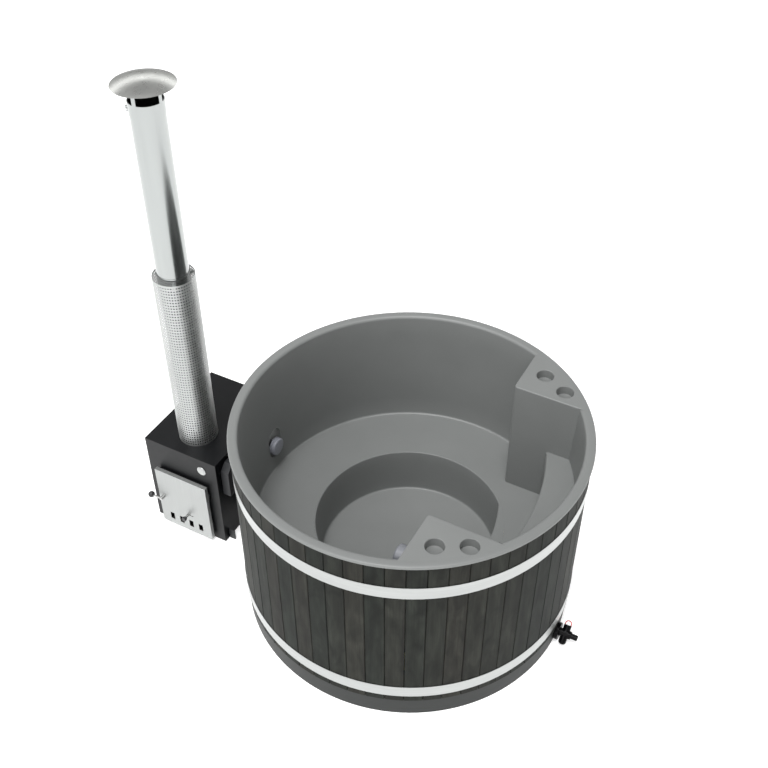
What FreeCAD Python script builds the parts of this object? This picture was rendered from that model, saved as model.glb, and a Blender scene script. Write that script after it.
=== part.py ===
import FreeCAD, Part
import math
import os
import Sketcher
from FreeCAD import Placement, Rotation, Vector

os.makedirs("parts", exist_ok=True)
doc = FreeCAD.newDocument("wood_fired_tub")

# Driving dimensions, lengths in millimetres and angles in degrees. The tub axis is the Z axis and the
# ground is Z = 0. The stove stands towards -X with its door facing -Y, the drain valve points to +X.
SIZES = {
    "rim_radius": 800,
    "rim_width": 46,
    "rim_height": 1030,
    "rim_lip": 12,
    "rim_round": 14,
    "liner_skin": 8,
    "wall_taper": 18,
    "cove_radius": 10,
    "bench_width": 294,
    "footwell_taper": 20,
    "footwell_depth": 236,
    "nose_depth": 52,
    "nose_curve_share": 1.78,
    "console_face_share": 0.3756,
    "console_side_share": 0.545,
    "console_corner": 15,
    "console_edge": 5,
    "console_blend": 45,
    "cup_radius": 40,
    "cup_depth": 45,
    "cup_skin": 3.5,
    "cup_mouth": 2,
    "front_cup_inset": 57.7,
    "front_cup_angle": 55.24,
    "rear_cup_inset": 27.8,
    "rear_cup_angle": 44.5,
    "step_drop": 325,
    "step_depth": 178,
    "step_curve_share": 1.512,
    "step_edge": 10,
    "seat_gap": 0.3,
    "running_gap": 0.05,
    "slip_gap": 0.5,
    "plinth_inset": 16,
    "plinth_height": 109,
    "plinth_skin": 10,
    "plinth_ledge": 44,
    "pan_skin": 4,
    "joist_width": 60,
    "inner_joist_share": 0.354,
    "floor_board": 56,
    "foam_depth": 50,
    "stave_count": 59,
    "stave_inset": 8.6,
    "stave_thickness": 15,
    "stave_gap": 1.5,
    "stave_chamfer": 3,
    "band_thickness": 1.5,
    "band_width": 66,
    "upper_band_drop": 201,
    "lower_band_rise": 37,
    "lock_spread": 22,
    "lock_depth": 22,
    "lock_width": 12,
    "band_bolt_radius": 4,
    "pipe_radius": 25,
    "pipe_bore": 22,
    "pipe_height": 45,
    "pipe_reach": 47,
    "pipe_flange": 13,
    "backnut_length": 14,
    "drain_share": 0.5924,
    "drain_flange_radius": 45,
    "drain_flange_depth": 5,
    "drain_hole": 6,
    "drain_hole_count": 8,
    "inlet_rise": 136,
    "inlet_cap_radius": 46,
    "inlet_cap_depth": 28,
    "inlet_proud": 22,
    "inlet_leg_radius": 4,
    "niche_radius": 55,
    "niche_drop": 12,
    "niche_rise": 66,
    "niche_skin": 5,
    "flange_depth": 5,
    "flange_stand": 2.5,
    "overflow_radius": 46,
    "overflow_reach": 40,
    "overflow_inset": 64.5,
    "overflow_drop": 65,
    "overflow_tail": 24,
    "hose_radius": 30,
    "hose_overlap": 30,
    "hose_stand": 4,
    "clamp_width": 12,
    "clamp_inset": 8,
    "clamp_sheet": 1.2,
    "valve_flange_radius": 42,
    "valve_flange_depth": 20,
    "valve_stand": 46,
    "valve_tilt": 50,
    "valve_run_radius": 20,
    "valve_bonnet_radius": 18,
    "valve_bonnet_half": 42,
    "valve_foot": 53,
    "valve_cap_share": 0.43,
    "valve_shoulder": 4,
    "valve_bore": 10,
    "valve_ball_radius": 15,
    "valve_stem_radius": 5,
    "loop_radius": 14,
    "loop_wire": 2.2,
    "loop_leg": 6,
    "tail_radius": 13.5,
    "tail_length": 61,
    "tail_collar": 8,
    "stove_gap": 115,
    "stove_width": 421,
    "stove_front": 262,
    "stove_depth": 566,
    "stove_top": 550,
    "stove_plate": 4,
    "foot_height": 3,
    "foot_radius": 20,
    "foot_inset": 40,
    "stub_length": 35,
    "outlet_drop": 35,
    "water_jacket": 36.5,
    "jacket_floor": 16,
    "firebox_plate": 5,
    "grate_lift": 25,
    "grate_plate": 10,
    "grate_margin": 20,
    "grate_bars": 8,
    "grate_slot": 16,
    "bracket_reach": 46,
    "bracket_inset": 34,
    "bracket_depth": 78,
    "bracket_slope": 38,
    "bracket_bottom": 222,
    "bracket_shoulder": 68,
    "bracket_top": 30,
    "low_bracket_reach": 36,
    "low_bracket_depth": 8,
    "low_bracket_height": 65,
    "door_width": 305,
    "door_low": 18,
    "door_height": 370,
    "door_face": 34,
    "door_depth": 20.7,
    "door_sheet": 3,
    "opening_margin": 14,
    "opening_trim": 25,
    "frame_depth": 10,
    "frame_margin": 10,
    "gasket_depth": 3,
    "gasket_width": 3,
    "seal_width": 10,
    "door_board": 14,
    "vent_count": 4,
    "vent_pitch": 59,
    "vent_width": 25,
    "vent_height": 46,
    "vent_z": 75,
    "hinge_stand": 7,
    "hinge_radius": 6,
    "hinge_half": 30,
    "hinge_plate": 2.7,
    "pin_radius": 3,
    "lower_hinge_z": 95,
    "upper_hinge_z": 311,
    "lever_x": 124.5,
    "lever_z": 205,
    "lever_out": 20,
    "lever_length": 63,
    "lever_radius": 5,
    "lever_hub": 9,
    "lever_knob_radius": 17,
    "knob_socket": 10,
    "pawl_length": 26,
    "pawl_width": 16,
    "pawl_thickness": 6,
    "slider_x": 17.5,
    "slider_z": 137,
    "slider_travel": 29.5,
    "slider_out": 40,
    "slider_sheet": 2,
    "slider_stalk": 6,
    "slider_neck": 2,
    "slider_knob_radius": 12,
    "slider_rim": 8,
    "guide_width": 6,
    "guide_lip": 3,
    "flue_offset": 4,
    "flue_y": 107,
    "flue_radius": 72.5,
    "flue_sheet": 1.2,
    "flue_length": 1788,
    "joint_rise": 22,
    "neck_plate": 4,
    "neck_rise": 50,
    "spigot_depth": 60,
    "guard_radius": 95.5,
    "guard_sheet": 1,
    "guard_length": 962,
    "tab_height": 14,
    "cap_radius": 130,
    "cap_lift": 64,
    "cap_rise": 28,
    "cap_sheet": 1.5,
    "cap_collar": 56,
    "ear_inset": 6,
    "ear_height": 22,
    "ear_sheet": 3,
    "ear_gap": 8,
    "strap_width": 19,
    "strap_turn": 1,
    "clamp_turn": -152,
    "clamp_reach": 10,
    "clamp_bolt_radius": 2.5,
}

sheet = doc.addObject("Spreadsheet::Sheet", "dims")
for row, (alias, number) in enumerate(SIZES.items(), start=1):
    sheet.set(f"A{row}", alias)
    sheet.set(f"B{row}", str(number))
    sheet.setAlias(f"B{row}", alias)
doc.recompute()


class Size:
    """A dimension kept both as a number and as an expression on the sheet."""

    def __init__(self, number, text):
        self.number = number
        self.text = text

    def __add__(self, other):
        other = size(other)
        return Size(self.number + other.number, f"({self.text} + {other.text})")

    def __sub__(self, other):
        other = size(other)
        return Size(self.number - other.number, f"({self.text} - {other.text})")

    def __mul__(self, other):
        other = size(other)
        return Size(self.number * other.number, f"({self.text} * {other.text})")

    def __truediv__(self, other):
        other = size(other)
        return Size(self.number / other.number, f"({self.text} / {other.text})")

    def __radd__(self, other):
        return size(other) + self

    def __rsub__(self, other):
        return size(other) - self

    def __rmul__(self, other):
        return size(other) * self

    def __neg__(self):
        return size(0) - self


def size(item):
    if isinstance(item, Size):
        return item
    return Size(float(item), repr(float(item)))


def sine(angle):
    return Size(math.sin(math.radians(angle.number)), f"sin({angle.text} * 1 deg)")


def cosine(angle):
    return Size(math.cos(math.radians(angle.number)), f"cos({angle.text} * 1 deg)")


def root(item):
    return Size(math.sqrt(item.number), f"sqrt({item.text})")


class Sheet:
    """Reads a named cell as a Size."""

    def __getattr__(self, alias):
        return Size(float(sheet.get(alias)), f"dims.{alias}")


d = Sheet()

# How far a drill passes through a sheet, and how far a welded piece or a pocket reaches past a face.
SLACK = 20
OVERLAP = 1

ALONG = {
    "x": Rotation(Vector(0, 1, 0), 90),
    "y": Rotation(Vector(1, 0, 0), -90),
    "z": Rotation(),
}
subparts = {}


def bind(item, **links):
    for prop, value in links.items():
        item.setExpression(prop, size(value).text)
    return item


def place(item, x, y, z, turn=Rotation()):
    spots = [size(x), size(y), size(z)]
    item.Placement = Placement(Vector(*[s.number for s in spots]), turn)
    for letter, spot in zip("xyz", spots):
        item.setExpression(f"Placement.Base.{letter}", spot.text)
    return item


def box(name, xs, ys, zs, turn=None, at=(0, 0, 0)):
    """A block between two values on each axis, or the same block turned about a point."""
    item = doc.addObject("Part::Box", name)
    (x0, x1), (y0, y1), (z0, z1) = [(size(a), size(b)) for a, b in (xs, ys, zs)]
    bind(item, Length=x1 - x0, Width=y1 - y0, Height=z1 - z0)
    if turn is None:
        return place(item, x0, y0, z0)
    cos, sin = cosine(size(turn)), sine(size(turn))
    return place(item, at[0] + x0 * cos - y0 * sin, at[1] + x0 * sin + y0 * cos, at[2] + z0,
                 Rotation(Vector(0, 0, 1), size(turn).number))


def rod(name, radius, length, x, y, z, along="z"):
    item = doc.addObject("Part::Cylinder", name)
    bind(item, Radius=radius, Height=length)
    return place(item, x, y, z, ALONG[along] if isinstance(along, str) else along)


def ball(name, radius, x, y, z, along="z"):
    item = doc.addObject("Part::Sphere", name)
    bind(item, Radius=radius)
    return place(item, x, y, z, ALONG[along])


def cut(name, base, *tools):
    item = doc.addObject("Part::Cut", name)
    item.Base = base
    item.Tool = tools[0] if len(tools) == 1 else fuse(name + "_tools", *tools)
    return item


def fuse(name, *shapes):
    item = doc.addObject("Part::MultiFuse", name)
    item.Shapes = list(shapes)
    item.Refine = True
    return item


def common(name, *shapes):
    item = doc.addObject("Part::MultiCommon", name)
    item.Shapes = list(shapes)
    return item


def group(name, *shapes):
    item = doc.addObject("Part::Compound", name)
    item.Links = list(shapes)
    return item


def mirrored(name, source):
    item = doc.addObject("Part::Mirroring", name)
    item.Source = source
    item.Normal = Vector(0, 1, 0)
    return item


def tube(name, outer, inner, length, x, y, z, along="z"):
    return cut(name, rod(name + "_out", outer, length, x, y, z, along),
               rod(name + "_in", inner, length, x, y, z, along))


def rounded(name, base, rolls):
    """The base with chosen edges rolled over, from pairs of a radius and a test on an edge's middle."""
    doc.recompute()
    item = doc.addObject("Part::Fillet", name)
    item.Base = base
    edges = []
    for radius, test in rolls:
        for index, edge in enumerate(base.Shape.Edges, start=1):
            if test(edge.BoundBox):
                edges.append((index, size(radius).number, size(radius).number))
    item.Edges = edges
    return item


def near(value, target):
    return abs(value - target.number) < 0.01


def arc(u, v, radius, start, finish, steps):
    """Points along an arc, as chords of a section."""
    points = []
    for index in range(steps + 1):
        angle = math.radians(start + (finish - start) * index / steps)
        points.append((u + radius * round(math.cos(angle), 6), v + radius * round(math.sin(angle), 6)))
    return points


def sketch_on(body, role, name, loops):
    """A sketch of closed loops whose corners are held by distances from the origin."""
    sketch = body.newObject("Sketcher::SketchObject", name)
    plane = next(f for f in body.Origin.OriginFeatures if f.Role == role)
    sketch.AttachmentSupport = [(plane, "")]
    sketch.MapMode = "FlatFace"
    for loop in loops:
        corners = [(size(u), size(v)) for u, v in loop]
        first = sketch.GeometryCount
        count = len(corners)
        points = [Vector(u.number, v.number, 0) for u, v in corners]
        for i in range(count):
            sketch.addGeometry(Part.LineSegment(points[i], points[(i + 1) % count]))
        for i in range(count):
            after = first + (i + 1) % count
            sketch.addConstraint(Sketcher.Constraint("Coincident", first + i, 2, after, 1))
        for i, corner in enumerate(corners):
            for kind, axis, value in zip(("DistanceX", "DistanceY"), (-2, -1), corner):
                if value.number == 0:
                    sketch.addConstraint(Sketcher.Constraint("PointOnObject", first + i, 1, axis))
                    continue
                index = sketch.addConstraint(Sketcher.Constraint(kind, -1, 1, first + i, 1, value.number))
                label = f"{kind}_{first + i}"
                sketch.renameConstraint(index, label)
                sketch.setExpression(f"Constraints.{label}", value.text)
    return sketch


def rectangle(u0, u1, v0, v1):
    return [(u0, v0), (u1, v0), (u1, v1), (u0, v1)]


def new_body(name):
    return doc.addObject("PartDesign::Body", name)


def turned(name, corners):
    """A body turned about the Z axis from a section given as radius and height."""
    body = new_body(name)
    sketch = sketch_on(body, "XZ_Plane", name + "_section", [corners])
    feature = body.newObject("PartDesign::Revolution", name + "_turned")
    feature.Profile = sketch
    feature.ReferenceAxis = (sketch, ["V_Axis"])
    feature.Angle = 360
    sketch.Visibility = False
    return body


def padded(body, role, name, loops, length):
    feature = body.newObject("PartDesign::Pad", name)
    feature.Profile = sketch_on(body, role, name + "_sketch", loops)
    bind(feature, Length=length)
    return feature


def pocketed(body, role, name, loops, length):
    """A pocket that runs the same way as a pad on the same plane."""
    feature = body.newObject("PartDesign::Pocket", name)
    feature.Profile = sketch_on(body, role, name + "_sketch", loops)
    bind(feature, Length=length)
    feature.Reversed = True
    return feature


def keep(name, item):
    item.Label = name
    subparts[name] = item
    return item


# Plinth: a moulded pan with an upright wall and an inward ledge that carries the stave ends.
plinth_top = d.plinth_height
plinth_radius = d.rim_radius - d.plinth_inset
ledge_radius = plinth_radius - d.plinth_ledge
plinth_inside = plinth_radius - d.plinth_skin
plinth_pan = turned("plinth_pan", [
    (0, 0),
    (plinth_radius, 0),
    (plinth_radius, plinth_top),
    (ledge_radius, plinth_top),
    (ledge_radius, plinth_top - d.plinth_skin),
    (plinth_inside, plinth_top - d.plinth_skin),
    (plinth_inside, d.pan_skin),
    (0, d.pan_skin),
])
pipe_passage = rod("pipe_passage", d.pipe_radius + d.seat_gap, d.rim_radius * 2, -d.rim_radius, 0,
                   d.pipe_height, "x")
keep("base_plinth", cut("plinth", plinth_pan, pipe_passage))

# Levels of the liner from the plinth upwards, and its radii from the rim inwards.
rim_inner = d.rim_radius - d.rim_width
rim_under = d.rim_height - d.rim_lip
bench_radius = rim_inner - d.wall_taper
floor_under = plinth_top + d.floor_board
floor_height = floor_under + d.liner_skin
bench_height = floor_height + d.footwell_depth
wall_rise = d.rim_height - bench_height
bench_under = bench_height - d.liner_skin
bench_outside = bench_radius + d.liner_skin
footwell_radius = bench_radius - d.bench_width
footwell_outside = footwell_radius + d.liner_skin
floor_radius = footwell_radius - d.footwell_taper

# Timber frame: four joists on the pan and eight posts on them, which carry floor and bench.
foam_under = bench_under - d.foam_depth
half_width = d.joist_width / 2
bench_middle = (bench_radius + footwell_outside) / 2
outer_joist_y = footwell_outside + half_width
timbers = []
for joist_y in (outer_joist_y * d.inner_joist_share, outer_joist_y):
    post_x = root(bench_middle * bench_middle - joist_y * joist_y)
    for spot_y in (-joist_y, joist_y):
        sides = (spot_y - half_width, spot_y + half_width)
        joist = box(f"joist_{len(timbers)}", (-d.rim_radius, d.rim_radius), sides, (d.pan_skin, plinth_top))
        limit = rod(f"joist_limit_{len(timbers)}", ledge_radius - d.seat_gap, plinth_top, 0, 0, 0)
        timbers.append(common(f"joist_trimmed_{len(timbers)}", joist, limit))
        for spot_x in (-post_x, post_x):
            timbers.append(box(f"post_{len(timbers)}", (spot_x - half_width, spot_x + half_width), sides,
                               (plinth_top, foam_under)))
keep("timber_frame", group("timbers", *timbers))

# Insulation: a board below the footwell floor and a foam ring below the bench.
drain_x = floor_radius * d.drain_share
riser_passage = rod("riser_passage", d.pipe_radius + d.seat_gap, floor_height, drain_x, 0, 0)
floor_board = rod("floor_board", floor_radius, d.floor_board, 0, 0, plinth_top)
keep("floor_insulation", cut("floor_foam", floor_board, riser_passage))
bench_inside = footwell_outside + d.seat_gap
keep("bench_insulation", tube("bench_foam", bench_outside, bench_inside, d.foam_depth, 0, 0, foam_under))

# Footwell: a tapered pan with a coved floor. Below the entry step its wall runs on a flatter curve, so
# the bench is wider there and hollow underneath.
cove = d.cove_radius
lip_roll = d.liner_skin * 0.75
footwell_form = turned("footwell_form", [
    (0, floor_under),
    (floor_radius + d.liner_skin, floor_under),
    (footwell_outside, bench_height),
    (0, bench_height),
])
round_room = turned("round_room", [
    (0, floor_height),
    *arc(floor_radius - cove, floor_height + cove, cove, 270, 360, 3),
    *arc(footwell_radius + lip_roll, bench_height - lip_roll, lip_roll, 180, 90, 3),
    (0, bench_height),
])
nose_front = footwell_radius - d.nose_depth
nose_curve = footwell_radius * d.nose_curve_share
nose_centre = nose_front - nose_curve
nose_span = (-footwell_outside, footwell_outside)
nose_box = box("nose_box", (0, footwell_outside), nose_span, (floor_under, bench_height))
nose_cut = rod("nose_cut", nose_curve, bench_height, nose_centre, 0, 0)
nose_block = rounded("nose_block", cut("nose_curved", nose_box, nose_cut), [
    (lip_roll, lambda b: near(b.ZMin, bench_height) and near(b.XMax, nose_front)),
])
nose_hollow_box = box("nose_hollow_box", (0, footwell_outside), nose_span, (0, bench_under))
nose_hollow_front = rod("nose_hollow_front", nose_curve + d.liner_skin, bench_height, nose_centre, 0, 0)
keep("liner_footwell", cut("footwell", footwell_form, cut("foot_room", round_room, nose_block),
                           cut("nose_hollow", nose_hollow_box, nose_hollow_front),
                           rod("drain_passage", d.pipe_bore, floor_height, drain_x, 0, d.liner_skin)))

# Bench and wall: the bench ring and the tapered wall with the flat rim, with rolled edges.
keep("liner_bench", tube("bench", bench_outside, bench_inside, d.liner_skin, 0, 0, bench_under))


def bath_line(gap):
    """Inner line of the wall from the bench to the rim as radius and height, drawn in by a gap."""
    foot = arc(bench_radius - cove - gap, bench_height + cove, cove, 270, 360, 3)
    edge = arc(rim_inner + d.rim_round - gap, d.rim_height - d.rim_round, d.rim_round, 180, 90, 4)
    return foot + edge


def bath_space(name, gap):
    """The space inside the wall, as a solid."""
    return turned(name, [(0, bench_height), *bath_line(gap), (0, d.rim_height)])


outer_roll = d.rim_lip * 0.75
wall_section = turned("wall_section", [
    *bath_line(0),
    *arc(d.rim_radius - outer_roll, d.rim_height - outer_roll, outer_roll, 90, 0, 3),
    (d.rim_radius, rim_under),
    (rim_inner + d.liner_skin, rim_under),
    (bench_outside, bench_height),
])

stave_corner = d.rim_radius - d.stave_inset
stave_half = size(180) / d.stave_count
stave_face = stave_corner * cosine(stave_half)
stave_inside = stave_face - d.stave_thickness
inlet_height = bench_height + d.inlet_rise
flange_seat = d.flange_stand - stave_inside
niche_back = flange_seat + d.flange_depth
niche_low = inlet_height - d.niche_drop
niche_high = niche_low + d.niche_rise


def stadium(name, radius, x0, x1):
    """An upright round-ended prism along X around the water inlet."""
    return fuse(name,
                rod(name + "_low", radius, x1 - x0, x0, 0, niche_low, "x"),
                rod(name + "_high", radius, x1 - x0, x0, 0, niche_high, "x"),
                box(name + "_mid", (x0, x1), (-radius, radius), (niche_low, niche_high)))


cup_outer = d.cup_radius + d.cup_skin
cup_floor = d.rim_height - d.cup_depth
cup_under = cup_floor - d.cup_skin
cup_spots = []
for inset, angle in ((d.front_cup_inset, d.front_cup_angle), (d.rear_cup_inset, d.rear_cup_angle)):
    cup_ring = rim_inner - inset
    cup_spots.append((cup_ring * cosine(angle), cup_ring * sine(angle)))
notches = []
for cup_x, cup_y in cup_spots:
    for cup_side in (cup_y, -cup_y):
        notches.append(rod(f"cup_notch_{len(notches)}", cup_outer + d.seat_gap, d.rim_height - cup_under,
                           cup_x, cup_side, cup_under))
niche_hole = stadium("niche_hole", d.niche_radius + d.seat_gap, -d.rim_radius, -footwell_outside)
keep("liner_wall", cut("wall", wall_section, niche_hole, *notches))

# Consoles: two hollow corner tables flush with the rim, with rolled edges and two cup recesses each.
# Above the entry step each runs into the wall in a concave blend.
console_face = d.rim_radius * d.console_face_share
console_side = d.rim_radius * d.console_side_share
console_box = box("console_box", (console_face, d.rim_radius), (console_side, d.rim_radius),
                  (bench_height, d.rim_height))
console_block = rounded("console_block", console_box, [
    (d.console_corner, lambda b: near(b.XMax, console_face) and near(b.YMax, console_side)),
    (d.console_edge, lambda b: near(b.ZMin, d.rim_height) and (near(b.XMax, console_face)
                                                              or near(b.YMax, console_side))),
])
console_hollow = box("console_hollow", (console_face + d.liner_skin, d.rim_radius),
                     (console_side + d.liner_skin, d.rim_radius),
                     (bench_height, d.rim_height - d.liner_skin))
console_space = bath_space("console_space", d.seat_gap)
console_form = common("console_form", console_block, console_space)
console_shell = cut("console_shell", console_form, console_hollow)
step_height = d.rim_height - d.step_drop
blend = d.console_blend
blend_y = console_side - blend
blend_wall = rim_inner + d.rim_round
blend_ring = blend_wall - blend
blend_x = root(blend_ring * blend_ring - blend_y * blend_y)
blend_end = blend_y * blend_wall / blend_ring
blend_box = box("blend_box", (blend_x, d.rim_radius), (blend_end, console_side),
                (step_height, d.rim_height))
blend_cut = rod("blend_cut", blend, d.rim_height, blend_x, blend_y, 0)
console_blend = cut("console_blend", common("blend_form", blend_box, console_space), blend_cut)
cup_walls = []
cup_bores = []
for index, (cup_x, cup_y) in enumerate(cup_spots):
    cup_walls.append(rod(f"cup_wall_{index}", cup_outer, d.rim_height - cup_under, cup_x, cup_y, cup_under))
    cup_form = turned(f"cup_bore_{index}", [
        (0, cup_floor),
        *arc(d.cup_radius - d.cup_skin, cup_floor + d.cup_skin, d.cup_skin, 270, 360, 2),
        (d.cup_radius, d.rim_height - d.cup_mouth),
        (d.cup_radius + d.cup_mouth, d.rim_height),
        (0, d.rim_height),
    ])
    cup_bores.append(place(cup_form, cup_x, cup_y, 0))
console = cut("console", fuse("console_cupped", console_shell, console_blend, *cup_walls), *cup_bores)
keep("console_far", console)
overflow_y = root(rim_inner * rim_inner - console_face * console_face) - d.overflow_inset
overflow_z = d.rim_height - d.overflow_drop
overflow_hole = rod("overflow_hole", d.pipe_bore + d.seat_gap, d.liner_skin + SLACK,
                    console_face - SLACK / 2, -overflow_y, overflow_z, "x")
keep("console_near", cut("console_drilled", mirrored("console_mirror", console), overflow_hole))

# Entry step: a hollow seat between the consoles with a concave front and a rolled edge.
step_side = console_side - d.seat_gap
step_front = rim_inner - d.step_depth
step_curve = rim_inner * d.step_curve_share
step_centre = step_front - step_curve
step_box = box("step_box", (console_face, d.rim_radius), (-step_side, step_side),
               (bench_height, step_height))
front_cut = rod("step_front_cut", step_curve, step_height, step_centre, 0, bench_height)
step_block = rounded("step_block", cut("step_curved", step_box, front_cut), [
    (d.step_edge, lambda b: near(b.ZMin, step_height) and near(b.XMax, step_front)),
])
step_form = common("step_form", step_block, bath_space("step_space", d.seat_gap))
step_hollow = box("step_hollow", (console_face, d.rim_radius), (-d.rim_radius, d.rim_radius),
                  (bench_height, step_height - d.liner_skin))
hollow_front = rod("step_hollow_front", step_curve + d.liner_skin, step_height, step_centre, 0,
                   bench_height)
keep("entry_step", cut("step", step_form, cut("step_inside", step_hollow, hollow_front)))

# Water inlet: a round-ended niche in the wall, a cover on three legs and a pipe with a nut outside.
niche_front = -footwell_outside
niche_outside = stadium("niche_outside", d.niche_radius, niche_back, niche_front)
niche_floor = niche_back + d.niche_skin
niche_inside = stadium("niche_inside", d.niche_radius - d.niche_skin, niche_floor, niche_front)
inlet_bore = rod("inlet_bore", d.pipe_bore, d.niche_skin + SLACK, niche_back - SLACK / 2, 0,
                 inlet_height, "x")
keep("inlet_niche", cut("niche", niche_outside, niche_inside, inlet_bore, bath_space("niche_space", 0)))

inlet_wall = bench_radius + d.wall_taper * (d.inlet_rise - cove) / (wall_rise - cove - d.rim_round)
cover_front = d.inlet_proud - inlet_wall
cover_back = cover_front - d.inlet_cap_depth
cover_roll = d.inlet_cap_depth * 0.32
groove_radius = d.inlet_cap_radius * 0.94
lid_radius = d.inlet_cap_radius * 0.98
cover_button = turned("cover_button", [
    (0, 0),
    (d.inlet_cap_radius, 0),
    (d.inlet_cap_radius, d.inlet_cap_depth * 0.3),
    (groove_radius, d.inlet_cap_depth * 0.36),
    (groove_radius, d.inlet_cap_depth * 0.46),
    (lid_radius, d.inlet_cap_depth * 0.52),
    *arc(lid_radius - cover_roll, d.inlet_cap_depth - cover_roll, cover_roll, 0, 90, 4),
    (0, d.inlet_cap_depth),
])
cover_parts = [place(cover_button, cover_back, 0, inlet_height, ALONG["x"])]
leg_ring = d.inlet_cap_radius * 0.75
leg_count = 3
leg_length = cover_back - niche_floor + OVERLAP
for index in range(leg_count):
    angle = size(90 + index * 360 / leg_count)
    cover_parts.append(rod(f"cover_leg_{index}", d.inlet_leg_radius, leg_length, niche_floor,
                           leg_ring * cosine(angle), inlet_height + leg_ring * sine(angle), "x"))
keep("inlet_cap", fuse("inlet_cover", *cover_parts))

spigot_end = stave_corner + d.pipe_reach
flange_radius = d.pipe_radius + d.pipe_flange
spigot_flange = rod("spigot_flange", flange_radius, d.flange_depth, flange_seat, 0, inlet_height, "x")
spigot_pipe = rod("spigot_pipe", d.pipe_radius, spigot_end + niche_back, -spigot_end, 0, inlet_height, "x")
spigot_bore = rod("spigot_bore", d.pipe_bore, spigot_end, -spigot_end, 0, inlet_height, "x")
keep("inlet_spigot", cut("spigot", fuse("spigot_body", spigot_flange, spigot_pipe), spigot_bore))
keep("inlet_backnut", tube("backnut", flange_radius, d.pipe_radius + d.running_gap * 2, d.backnut_length,
                           -stave_corner - d.seat_gap - d.backnut_length, 0, inlet_height, "x"))

# Overflow: a round drum on the near console, open below, with a tail through the face.
overflow_front = console_face - d.overflow_reach
overflow_length = d.overflow_reach + d.overflow_tail
drum_front = d.overflow_radius * 0.15
overflow_drum = turned("overflow_drum", [
    (0, 0),
    (d.overflow_radius - drum_front, 0),
    (d.overflow_radius, drum_front),
    (d.overflow_radius, d.overflow_reach),
    (d.pipe_bore, d.overflow_reach),
    (d.pipe_bore, overflow_length),
    (0, overflow_length),
])
place(overflow_drum, overflow_front, -overflow_y, overflow_z, ALONG["x"])
overflow_wall = 3
overflow_bore = rod("overflow_bore", d.pipe_bore - overflow_wall, overflow_length,
                    overflow_front + d.liner_skin, -overflow_y, overflow_z, "x")
overflow_slot = box("overflow_slot", (overflow_front + d.liner_skin * 2, console_face - d.liner_skin),
                    (-overflow_y - d.pipe_bore / 2, -overflow_y + d.pipe_bore / 2),
                    (overflow_z - d.overflow_radius, overflow_z))
keep("overflow_fitting", cut("overflow", overflow_drum, overflow_bore, overflow_slot))

# Floor strainer: a turned flange with a ring of holes made once and repeated round its axis.
strainer_tail = d.pipe_bore - d.seat_gap
strainer_wall = 2
strainer_top = floor_height + d.drain_flange_depth
strainer = turned("strainer", [
    (0, floor_height),
    (0, strainer_top),
    (d.drain_flange_radius - d.drain_flange_depth * 0.6, strainer_top),
    (d.drain_flange_radius, floor_height),
    (strainer_tail, floor_height),
    (strainer_tail, floor_under - SLACK),
    (strainer_tail - strainer_wall, floor_under - SLACK),
    (strainer_tail - strainer_wall, floor_height),
])
hole_ring = strainer_tail - strainer_wall - d.drain_hole
hole_half = d.drain_hole / 2
hole_outline = rectangle(hole_ring - d.drain_hole, hole_ring + hole_half, -hole_half, hole_half)
strainer_hole = pocketed(strainer, "XY_Plane", "strainer_hole", [hole_outline], strainer_top + OVERLAP)
doc.recompute()
strainer_ring = strainer.newObject("PartDesign::PolarPattern", "strainer_ring")
strainer_ring.Originals = [strainer_hole]
strainer_ring.Axis = (strainer_hole.Profile[0], ["N_Axis"])
strainer_ring.Angle = 360
bind(strainer_ring, Occurrences=d.drain_hole_count)
strainer.Tip = strainer_ring
place(strainer, drain_x, 0, 0)
keep("floor_drain", strainer)

# Bottom pipe: one run below the floor from stove to drain valve with a riser to the strainer.
pipe_start = -spigot_end
flange_back = plinth_radius + d.seat_gap
flange_front = flange_back + d.valve_flange_depth
pipe_finish = flange_front - d.valve_flange_depth / 4
riser_length = floor_under - d.pipe_height
bottom_solid = fuse(
    "bottom_solid",
    rod("bottom_run", d.pipe_radius, pipe_finish - pipe_start, pipe_start, 0, d.pipe_height, "x"),
    rod("bottom_riser", d.pipe_radius, riser_length, drain_x, 0, d.pipe_height))
bottom_bore = rod("bottom_bore", d.pipe_bore, pipe_finish - pipe_start, pipe_start, 0, d.pipe_height, "x")
riser_bore = rod("riser_bore", d.pipe_bore, riser_length, drain_x, 0, d.pipe_height)
keep("bottom_pipe", cut("bottom", bottom_solid, bottom_bore, riser_bore))

# Staves: flat boards with chamfered outer edges, one section turned round the tub.
half_angle = stave_half.number
slope = math.tan(math.radians(half_angle))
outer_x = stave_face.number
inner_x = stave_inside.number
chamfer = d.stave_chamfer.number
half_gap = d.stave_gap.number / 2


def stave_side(x):
    return x * slope - half_gap


stave_profile = [
    (inner_x, stave_side(inner_x)),
    (outer_x - chamfer, stave_side(outer_x - chamfer)),
    (outer_x, stave_side(outer_x) - chamfer),
]
stave_profile += [(x, -y) for x, y in reversed(stave_profile)]
stave_points = [Vector(x, y, plinth_top.number) for x, y in stave_profile]
stave_section = Part.Face(Part.makePolygon(stave_points + stave_points[:1]))
stave = stave_section.extrude(Vector(0, 0, rim_under.number - plinth_top.number))
passage_radius = d.pipe_radius.number + d.slip_gap.number * 2
spigot_room = Part.makeCylinder(passage_radius, outer_x, Vector(-outer_x * 1.5, 0, inlet_height.number),
                                Vector(1, 0, 0))
boards = []
for index in range(int(d.stave_count.number)):
    board = stave.copy()
    board.rotate(Vector(0, 0, 0), Vector(0, 0, 1), index * 2 * half_angle)
    if board.BoundBox.XMax < 0 and abs(board.BoundBox.Center.y) < board.BoundBox.YLength:
        board = board.cut(spigot_room).Solids[0]
    boards.append(board)
staves = doc.addObject("Part::Feature", "stave_ring")
staves.Shape = Part.makeCompound(boards)
staves.Placement = Placement()
keep("staves", staves)

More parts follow.
